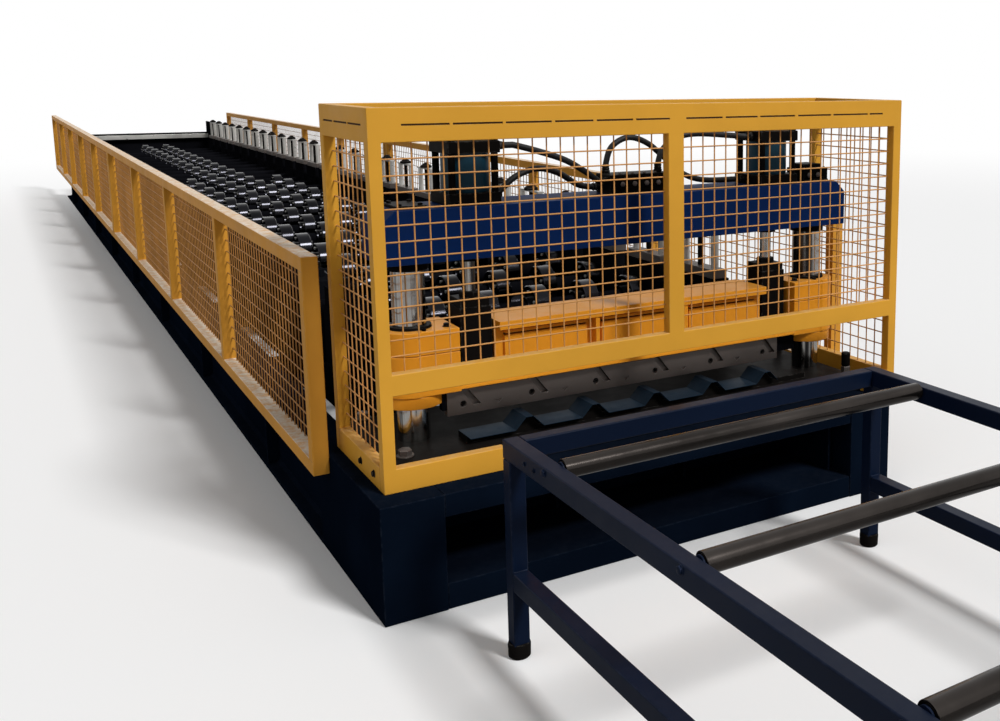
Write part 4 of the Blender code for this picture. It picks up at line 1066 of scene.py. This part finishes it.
def blade():
    """Blade holder in the slab's rebate, with slanted notches in its upper edge, holes and nicks."""
    front, back = span("blade_bar", 1)
    sinks, heads, plates = Shape(), Shape(), Shape()
    over, foot = BLADE_TOP + TUCK, HOLE_Z - NOTCH_DROP
    for index in range(6):
        x = HOLE_START + RIB_PITCH * index
        sinks.turned(HOLE, 24, "Y", (x, front, HOLE_Z))
        screw(heads, (x, front + HOLE_DEPTH, HOLE_Z), "Y", *BLADE_SCREW, -1)
        sinks.prism([(x + NOTCH_TOP[0], over), (x + NOTCH_FOOT[0], foot), (x + NOTCH_FOOT[1], foot),
                     (x + NOTCH_TOP[1], over)], "Y", (front - TUCK, front + NOTCH_DEPTH))
        nick = x + RIB_PITCH / 2
        if nick < BLADE_X[1] - 0.03:
            top, tip = (HOLE_Z - drop for drop in NICK_DROPS)
            sinks.prism([(nick - NICK_HALF, top), (nick + NICK_HALF, top), (nick, tip)], "Y",
                        (front - TUCK, front + NICK_DEPTH))
    bar = Shape().box(BLADE_X, (front, back), (BLADE_BOTTOM, BLADE_TOP))
    bar.piece("blade_bar_steel", GREY, 0.0012, body=HEAD, replaces=["blade_bar"], minus=sinks)
    heads.piece("blade_bar_screws", BLACK, body=HEAD)
    ring_edge = POST_CENTRES[1] - FOOT_RING_RADIUS + 0.002
    plate_z = (BLADE_BOTTOM + END_PLATE_RISE, BLADE_TOP)
    plates.box((BLADE_X[1] + SEAT, ring_edge), (back - 0.014, back - SEAT), plate_z)
    plates.box((BLADE_X[0] - 0.016, BLADE_X[0] - SEAT), (back - 0.028, back - SEAT), plate_z)
    plates.piece("blade_bar_end_plates", STAND, 0.001, body=HEAD)


ROD_BLOCK_HALF = 0.055
ROD_BLOCK_TOP = 0.90
ROD_BLOCK_CAP = 0.028
ROD_NUT = ((-0.001, 0.036), (0.018, 0.036), (0.021, 0.032))
ROD_RADIUS = 0.022
GLAND = ((-0.020, 0.0228), (-0.020, 0.040), (0.0, 0.040), (0.0, 0.0228))


def piston_rods():
    beam_low = span("top_beam", 2)[0]
    half, top = ROD_BLOCK_HALF, ROD_BLOCK_TOP
    for side, x in CYLINDER_CENTRES.items():
        node = "piston_rod_" + side_name(side)
        low, high = span(node, 2)
        block = Shape()
        block.box(about(x, half), about(POST_Y, half), (low, top - ROD_BLOCK_CAP))
        block.box(about(x, half - 0.004), about(POST_Y, half - 0.004), (top - ROD_BLOCK_CAP - 0.001, top))
        block.turned(ROD_NUT, 6, "Z", (x, POST_Y, top))
        block.piece(node + "_end", BLACK, 0.002, body=HEAD, replaces=[node])
        rod = Shape().drum((top - 0.01, high), ROD_RADIUS, 40, "Z", (x, POST_Y, 0.0))
        # The chrome rod carries painted reflection bands.
        rod.piece(node + "_bar", CHROME, body=HEAD)
        Shape().collar(GLAND, 40, "Z", (x, POST_Y, beam_low)).piece(node + "_gland", BLACK, 0.001)


SHEET_FRONT = 0.108
SHEET_THICK = 0.0016
RIB_HEIGHT = 0.040
RIB_FOOT_HALF = 0.052
RIB_TOP_HALF = 0.013


def sheet_line(lift):
    """Trapezoid line of the sheet, which ends in a rib."""
    x, _, z = spans("formed_sheet")
    valley = z[0] + lift
    line = [(x[0], valley)]
    for centre in RIB_CENTRES:
        line += [(centre - RIB_FOOT_HALF, valley), (centre - RIB_TOP_HALF, valley + RIB_HEIGHT),
                 (centre + RIB_TOP_HALF, valley + RIB_HEIGHT), (centre + RIB_FOOT_HALF, valley)]
    return line


def formed_sheet():
    outline = sheet_line(0.0) + sheet_line(SHEET_THICK)[::-1]
    sheet = Shape().prism(outline, "Y", (SHEET_FRONT, span("formed_sheet", 1)[1]))
    sheet.piece("formed_sheet_steel", SHEET, 0.0003, 1, replaces=["formed_sheet"])
    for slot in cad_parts["lower_die"].material_slots:
        slot.material = BLACK


# Forming stations

STATIONS = 4
STATION_START = 0.96
STATION_PITCH = 0.465
STAND_X = 0.74
STAND_TOP = 0.74
STAND_SHOULDER = 0.66
STAND_FOOT = 0.024
SOLE_HALF = 0.05
STAND_STEPS = ((0.056, 0.186), (0.050, 0.180), (0.044, 0.172))
BEARING_COVER = ((0.0, 0.058), (0.012, 0.058), (0.014, 0.054))
SADDLE = (0.020, 0.060)
SADDLE_TOP = STAND_TOP + 0.034
LEFT_NUT = ((SADDLE_TOP, 0.018), (0.797, 0.018), (0.800, 0.015))
PASS_Z = 0.462
ROLL_GAP = 0.002
UPPER_RADIUS = 0.105
LOWER_RADIUS = 0.085
LOWER_HALF = 0.070
LOWER_COUNT = 6
SHAFT_RADIUS = 0.036
SHAFT_REACH = STAND_X - 0.025
UPPER_COLLAR = SHAFT_RADIUS + 0.016
LOWER_COLLAR = SHAFT_RADIUS + 0.022
DISC_HALF = 0.036
DISC_CHAMFER = 0.004
COLLAR_REACH = 0.022
STUD_CIRCLE = 0.076
STUD = (0.006, 0.0075)
DISCS = (6, 6, 4, 4, 2, 2, 2)
BLOCK = (0.036, 0.165)
BLOCK_TOP = STAND_TOP + 0.040
COLUMN_TOP = 0.952
COLUMN_RADIUS = 0.018
COLUMN_OFFSET = 0.122
SPINDLE_RADIUS = 0.011
BRIDGE = (0.018, COLUMN_OFFSET + 0.020)
BRIDGE_TOP = COLUMN_TOP + 0.010
SCREW_CONE = ((0.0, 0.042), (0.012, 0.042), (0.036, 0.012))
SECTION_PARTS = (("stands", STAND, 0.002), ("rolls", ROLL, 0.0), ("shafts", STAND, 0.0),
                 ("bearing_blocks", GREY, 0.002), ("columns", BRIGHT, 0.0),
                 ("adjusting_screws", BLACK, 0.0), ("roll_bolts", BRIGHT, 0.0))


def disc_profile(x, half, radius, shaft):
    """Flat roll disc with chamfered rims, on its shaft."""
    flat = half - DISC_CHAMFER
    return [(x - half, shaft), (x - half, radius - DISC_CHAMFER), (x - flat, radius), (x + flat, radius),
            (x + half, radius - DISC_CHAMFER), (x + half, shaft)]


def roll_pair(y, discs, upper_z, rolls, shafts, studs):
    """Upper shaft with its bolted discs, lower shaft with plain rolls."""
    lower_z = PASS_Z - LOWER_RADIUS
    for z in (upper_z, lower_z):
        shafts.drum(about(MACHINE_X, SHAFT_REACH), SHAFT_RADIUS, 24, "X", (0.0, y, z))
    edge = DISC_HALF + COLLAR_REACH
    for index in range(discs):
        x = MACHINE_X + (index - (discs - 1) / 2) * RIB_PITCH
        rolls.turned([(x - edge, UPPER_COLLAR), *disc_profile(x, DISC_HALF, UPPER_RADIUS, UPPER_COLLAR),
                      (x + edge, UPPER_COLLAR)], 32, "X", (0.0, y, upper_z))
        for way, step in itertools.product((-1, 1), range(6)):
            angle = math.pi * (step + 0.5) / 3
            place = (x + way * DISC_HALF, y + STUD_CIRCLE * math.cos(angle),
                     upper_z + STUD_CIRCLE * math.sin(angle))
            studs.drum((0.0, way * STUD[0]), STUD[1], 6, "X", place)
    lower_rolls = rolls if discs > 4 else shafts
    for index in range(LOWER_COUNT):
        x = MACHINE_X + (index - (LOWER_COUNT - 1) / 2) * RIB_PITCH
        profile = disc_profile(x, LOWER_HALF, LOWER_RADIUS, LOWER_COLLAR)
        lower_rolls.turned(profile, 24, "X", (0.0, y, lower_z))


def station(y, discs, parts):
    """One pair of rolls in its two stands; the right stand carries the adjusting columns."""
    stands, rolls, shafts, blocks, columns, heads, studs = parts
    base_top = span("base_frame", 2)[1]
    upper_z = PASS_Z + ROLL_GAP + UPPER_RADIUS
    roll_pair(y, discs, upper_z, rolls, shafts, studs)
    for side in (-1, 1):
        x = MACHINE_X + side * STAND_X
        levels = (base_top, base_top + STAND_FOOT, STAND_SHOULDER, STAND_TOP)
        for (half_x, half_y), low, high in zip(STAND_STEPS, levels, levels[1:]):
            stands.box(about(x, half_x), about(y, half_y), (low, high))
        cover = [(-side * along, radius) for along, radius in BEARING_COVER]
        stands.turned(cover, 24, "X", (x - side * STAND_STEPS[1][0], y, upper_z))
        if side < 0:
            stands.box(about(x, SADDLE[0]), about(y, SADDLE[1]), (STAND_TOP, SADDLE_TOP))
            heads.turned(LEFT_NUT, 6, "Z", (x, y, 0.0))
            continue
        blocks.box(about(x, BLOCK[0]), about(y, BLOCK[1]), (STAND_TOP, BLOCK_TOP))
        gap = (BLOCK_TOP, COLUMN_TOP)
        for offset in both(COLUMN_OFFSET):
            columns.drum(gap, COLUMN_RADIUS, 20, "Z", (x, y + offset, 0.0))
        columns.box(about(x, BRIDGE[0]), about(y, BRIDGE[1]), (COLUMN_TOP, BRIDGE_TOP))
        heads.turned(SCREW_CONE, 24, "Z", (x, y, BRIDGE_TOP))
        heads.drum(gap, SPINDLE_RADIUS, 16, "Z", (x, y, 0.0))


def forming_sections():
    base_top = span("base_frame", 2)[1]
    for section, discs in enumerate(DISCS):
        node = "forming_section_%d" % (section + 1)
        parts = [Shape() for _ in SECTION_PARTS]
        for x in (MACHINE_X - STAND_X, MACHINE_X + STAND_X):
            parts[0].box(about(x, SOLE_HALF), span(node, 1), (CROSS_Z[1] + SEAT, base_top))
        for index in range(STATIONS):
            station(STATION_START + (section * STATIONS + index) * STATION_PITCH, discs, parts)
        for shape, (name, material, bevel) in zip(parts, SECTION_PARTS):
            replaced = [node] if name == "stands" else ()
            shape.piece("%s_%d" % (name, section + 1), material, bevel, replaces=replaced)


# Infeed end

PLATE_THICK = 0.02
LEFT_PLATE_TOP = 0.82
PLATE_CORNER = 0.12
FLOOR_PLATE_THICK = 0.012
BAR_STRIP = 0.022
APRON_LOW = 0.56
APRON_Y = (0.016, 0.004)
INFEED_BOLT = (0.012, 0.010)


def infeed():
    x, y, z = spans("infeed_guide")
    inside = (x[0] + PLATE_THICK, x[1] - PLATE_THICK)
    plates, bolts = Shape(), Shape()
    plates.box((x[0], inside[0]), y, (z[0], LEFT_PLATE_TOP))
    plates.prism([(y[0], z[0]), (y[1], z[0]), (y[1], z[1]), (y[0] + PLATE_CORNER, z[1]),
                  (y[0], z[1] - PLATE_CORNER / 2)], "X", (inside[1], x[1]))
    plates.box(inside, y, (PASS_Z - FLOOR_PLATE_THICK, PASS_Z))
    plates.piece("infeed_plates", STAND, 0.002, replaces=["infeed_guide"])
    across, along, (low, high) = spans("infeed_bar")
    bar = Shape().box(across, along, (low, high - BAR_STRIP))
    bar.piece("infeed_cross_bar", BRIGHT, 0.003, replaces=["infeed_bar"])
    Shape().box(across, along, (high - BAR_STRIP, high)).piece("infeed_bar_top", BLACK, 0.002)
    apron = Shape().box(inside, [along[1] - back for back in APRON_Y], (APRON_LOW, low - SEAT))
    apron.piece("infeed_apron", STAND, 0.001)
    for side, edge in zip((-1, 1), x):
        for place in (along[0] + 0.02, along[1] - 0.02):
            bolt(bolts, (edge, place, (low + high) / 2), "X", *INFEED_BOLT, side)
    bolts.piece("infeed_bolts", GREY, 0.0008)


# Run-out table

TABLE_TUBE = 0.048
RAIL_HEIGHT = 0.056
LOW_RAIL_Z = (0.21, 0.265)
LEG_FOOT = 0.03
TABLE_FOOT = ((0.0, 0.028), (0.004, 0.032), (0.038, 0.033), (0.045, 0.031))
AXLE_DROP = 0.015
AXLE_BOSS = ((0.0, 0.011), (0.0, 0.020), (-0.004, 0.020), (-0.004, 0.011))
AXLE_BOLT = (0.0105, 0.006)
LEG_SCREW = (0.006, 0.004)
LEG_SCREW_DROPS = (0.10, 0.16)
ROLLERS = ["table_roller_%d" % index for index in range(1, 6)]


def table_side(side, bolts, welds, feet, chance):
    """One side of the table: top and lower rail, three legs on rubber feet, the rollers' bolts."""
    node = "table_side_" + side_name(side)
    x, (end, start), (_, top) = spans(node)
    inner, outer = x[::side]
    rail_low = top - RAIL_HEIGHT
    legs = (start - TABLE_TUBE, (start + end - TABLE_TUBE) / 2, end)
    tubes = Shape().box(x, (end, start), (rail_low, top))
    for first, second in zip(legs, legs[1:]):
        tubes.box(x, (second + TABLE_TUBE, first), LOW_RAIL_Z)
    for leg in legs:
        tubes.box(x, (leg, leg + TABLE_TUBE), (LEG_FOOT, rail_low))
        feet.turned(TABLE_FOOT, 32, "Z", ((x[0] + x[1]) / 2, leg + TABLE_TUBE / 2, 0.0))
        for z in (rail_low, LOW_RAIL_Z[1], LOW_RAIL_Z[0]):
            bead(welds, (x[0] + 0.003, leg, z), (x[1] - 0.003, leg, z), TABLE_BEAD, chance)
    tubes.piece(node + "_tubes", NAVY, 0.0045, 3, replaces=[node])
    boss = [(side * along, radius) for along, radius in AXLE_BOSS]
    for roller in ROLLERS:
        y = sum(span(roller, 1)) / 2
        bolt(bolts, (outer, y, top - AXLE_DROP), "X", *AXLE_BOLT, side)
        bolts.collar(boss, 32, "X", (inner, y, top - AXLE_DROP))
    for leg, offset in itertools.product(legs[:2], LEG_SCREW_DROPS):
        screw(bolts, (outer, leg - offset, top - RAIL_HEIGHT / 2), "X", *LEG_SCREW, side)


def table_frame(chance):
    bolts, welds, feet = Shape(), Shape(), Shape()
    for side in (-1, 1):
        table_side(side, bolts, welds, feet, chance)
    bolts.piece("table_bolts", NAVY, 0.0005)
    welds.piece("table_welds", NAVY)
    feet.piece("table_feet", BLACK, 0.001)
    for node in ("table_beam_start", "table_beam_end"):
        Shape().box(*spans(node)).piece(node + "_tube", NAVY, 0.0045, 3, replaces=[node])


ROLLER_INSET = TABLE_TUBE + 0.006
ROLLER_HUB = 0.019
PIN_RADIUS = 0.0078


def table_rollers():
    for node in ROLLERS:
        x, y, z = spans(node)
        centre = (0.0, sum(y) / 2, sum(z) / 2)
        radius = (z[1] - z[0]) / 2
        left, right = x[0] + ROLLER_INSET, x[1] - ROLLER_INSET
        end = [(0.002, ROLLER_HUB), (0.0, radius - 0.003), (0.0, radius - 0.001), (0.001, radius)]
        profile = [(left, ROLLER_HUB), *[(left + along, size) for along, size in end],
                   *[(right - along, size) for along, size in end[::-1]], (right, ROLLER_HUB)]
        Shape().turned(profile, 40, "X", centre).piece(node + "_tube", PIPE, body=node, replaces=[node])
        pins = Shape()
        for ends in ((x[0], left + 0.002), (right - 0.002, x[1])):
            pins.drum(ends, PIN_RADIUS, 20, "X", centre)
        pins.piece(node + "_pins", GREY, body=node)


# Floor, light and camera

FLOOR_SIZE = 120.0
FLOOR_DROP = 0.0005
FLOOR_LIT = (0.45, 0.45, 0.45)
FLOOR_SEEN = (0.93, 0.93, 0.93)
FLOOR_FADE = (9.0, 22.0)
SOFT_LIGHT = 0.27
LAMPS = (("key", 2.70, 13, (46, 0, 20)), ("fill", 0.36, 60, (50, 0, -75)))
CAMERA_PLACE = (-1.9654, -8.6777, 1.6468)
CAMERA_TILT = 80.876
CAMERA_HEADING = -34.407
CAMERA_ROLL = 0.189
CAMERA_LENS = 38.95
CAMERA_SHIFT = (-0.226, -0.112)


def floor_material():
    """Pale floor that fades into the white backdrop far from the machine."""
    material = bpy.data.materials.new("studio floor")
    material.use_nodes = True
    nodes = material.node_tree.nodes
    shader = nodes["Principled BSDF"]
    seen = linked(material, "ShaderNodeLightPath").outputs["Is Camera Ray"]
    shader.inputs["Roughness"].default_value = 0.8
    shader.inputs["Specular IOR Level"].default_value = 0.1
    plug(material, shader.inputs["Base Color"], mixed(material, seen, FLOOR_LIT, FLOOR_SEEN))
    distance = linked(material, "ShaderNodeVectorMath")
    distance.operation = "LENGTH"
    plug(material, distance.inputs[0], linked(material, "ShaderNodeTexCoord").outputs["Object"])
    far = ranged(material, distance.outputs["Value"], *FLOOR_FADE, 0.0, 1.0)
    glow = linked(material, "ShaderNodeEmission", Strength=1.0)
    fade = mixed_shader(material, combined(material, "MULTIPLY", far, seen), shader.outputs["BSDF"],
                        glow.outputs["Emission"])
    plug(material, nodes["Material Output"].inputs["Surface"], fade)
    return material


def studio():
    scene = bpy.context.scene
    world = bpy.data.worlds.new("studio")
    world.use_nodes = True
    scene.world = world
    world.node_tree.nodes.clear()
    path = linked(world, "ShaderNodeLightPath").outputs
    seen = combined(world, "MAXIMUM", path["Is Camera Ray"], path["Is Glossy Ray"])
    seen = combined(world, "MAXIMUM", seen, path["Is Transmission Ray"])
    soft, white = (linked(world, "ShaderNodeBackground", Color=(1.0, 1.0, 1.0, 1.0), Strength=strength)
                   for strength in (SOFT_LIGHT, 1.0))
    linked(world, "ShaderNodeOutputWorld", Surface=mixed_shader(
        world, seen, soft.outputs["Background"], white.outputs["Background"]))
    floor = placed("floor", bpy.data.meshes.new("floor"))
    corners = [(a * FLOOR_SIZE, b * FLOOR_SIZE, 0.0) for a, b in ((-1, -1), (1, -1), (1, 1), (-1, 1))]
    floor.data.from_pydata(corners, [], [(0, 1, 2, 3)])
    floor.data.materials.append(floor_material())
    floor.location = (0.0, FRONT_Y, -FLOOR_DROP)
    for name, energy, softness, turn in LAMPS:
        lamp = bpy.data.lights.new(name, "SUN")
        lamp.energy = energy
        lamp.angle = math.radians(softness)
        placed(name, lamp).rotation_euler = [math.radians(angle) for angle in turn]


def camera():
    data = bpy.data.cameras.new("camera")
    data.sensor_fit = "HORIZONTAL"
    data.sensor_width = 36.0
    data.lens = CAMERA_LENS
    data.shift_x, data.shift_y = CAMERA_SHIFT
    data.clip_start, data.clip_end = 0.05, 400.0
    view = placed("camera", data)
    view.location = CAMERA_PLACE
    turn = Matrix.Rotation(math.radians(CAMERA_HEADING), 3, "Z")
    turn = turn @ Matrix.Rotation(math.radians(CAMERA_TILT), 3, "X")
    turn = turn @ Matrix.Rotation(math.radians(CAMERA_ROLL), 3, "Z")
    view.rotation_euler = turn.to_euler()
    bpy.context.scene.camera = view


bpy.context.scene.view_settings.view_transform = "Standard"
chance = random.Random(7)
camera()
hoses()
cage_frame(chance)
cage_fill(chance)
for side, part in itertools.product((-1, 1), ("near", "far")):
    fence(side, part, chance)
base_frame()
press_stand(chance)
press_table()
guide_posts()
top_beam()
hydraulic_cylinders()
valve_block()
manifold()
carriage()
blade()
piston_rods()
formed_sheet()
forming_sections()
infeed()
table_frame(chance)
table_rollers()
studio()
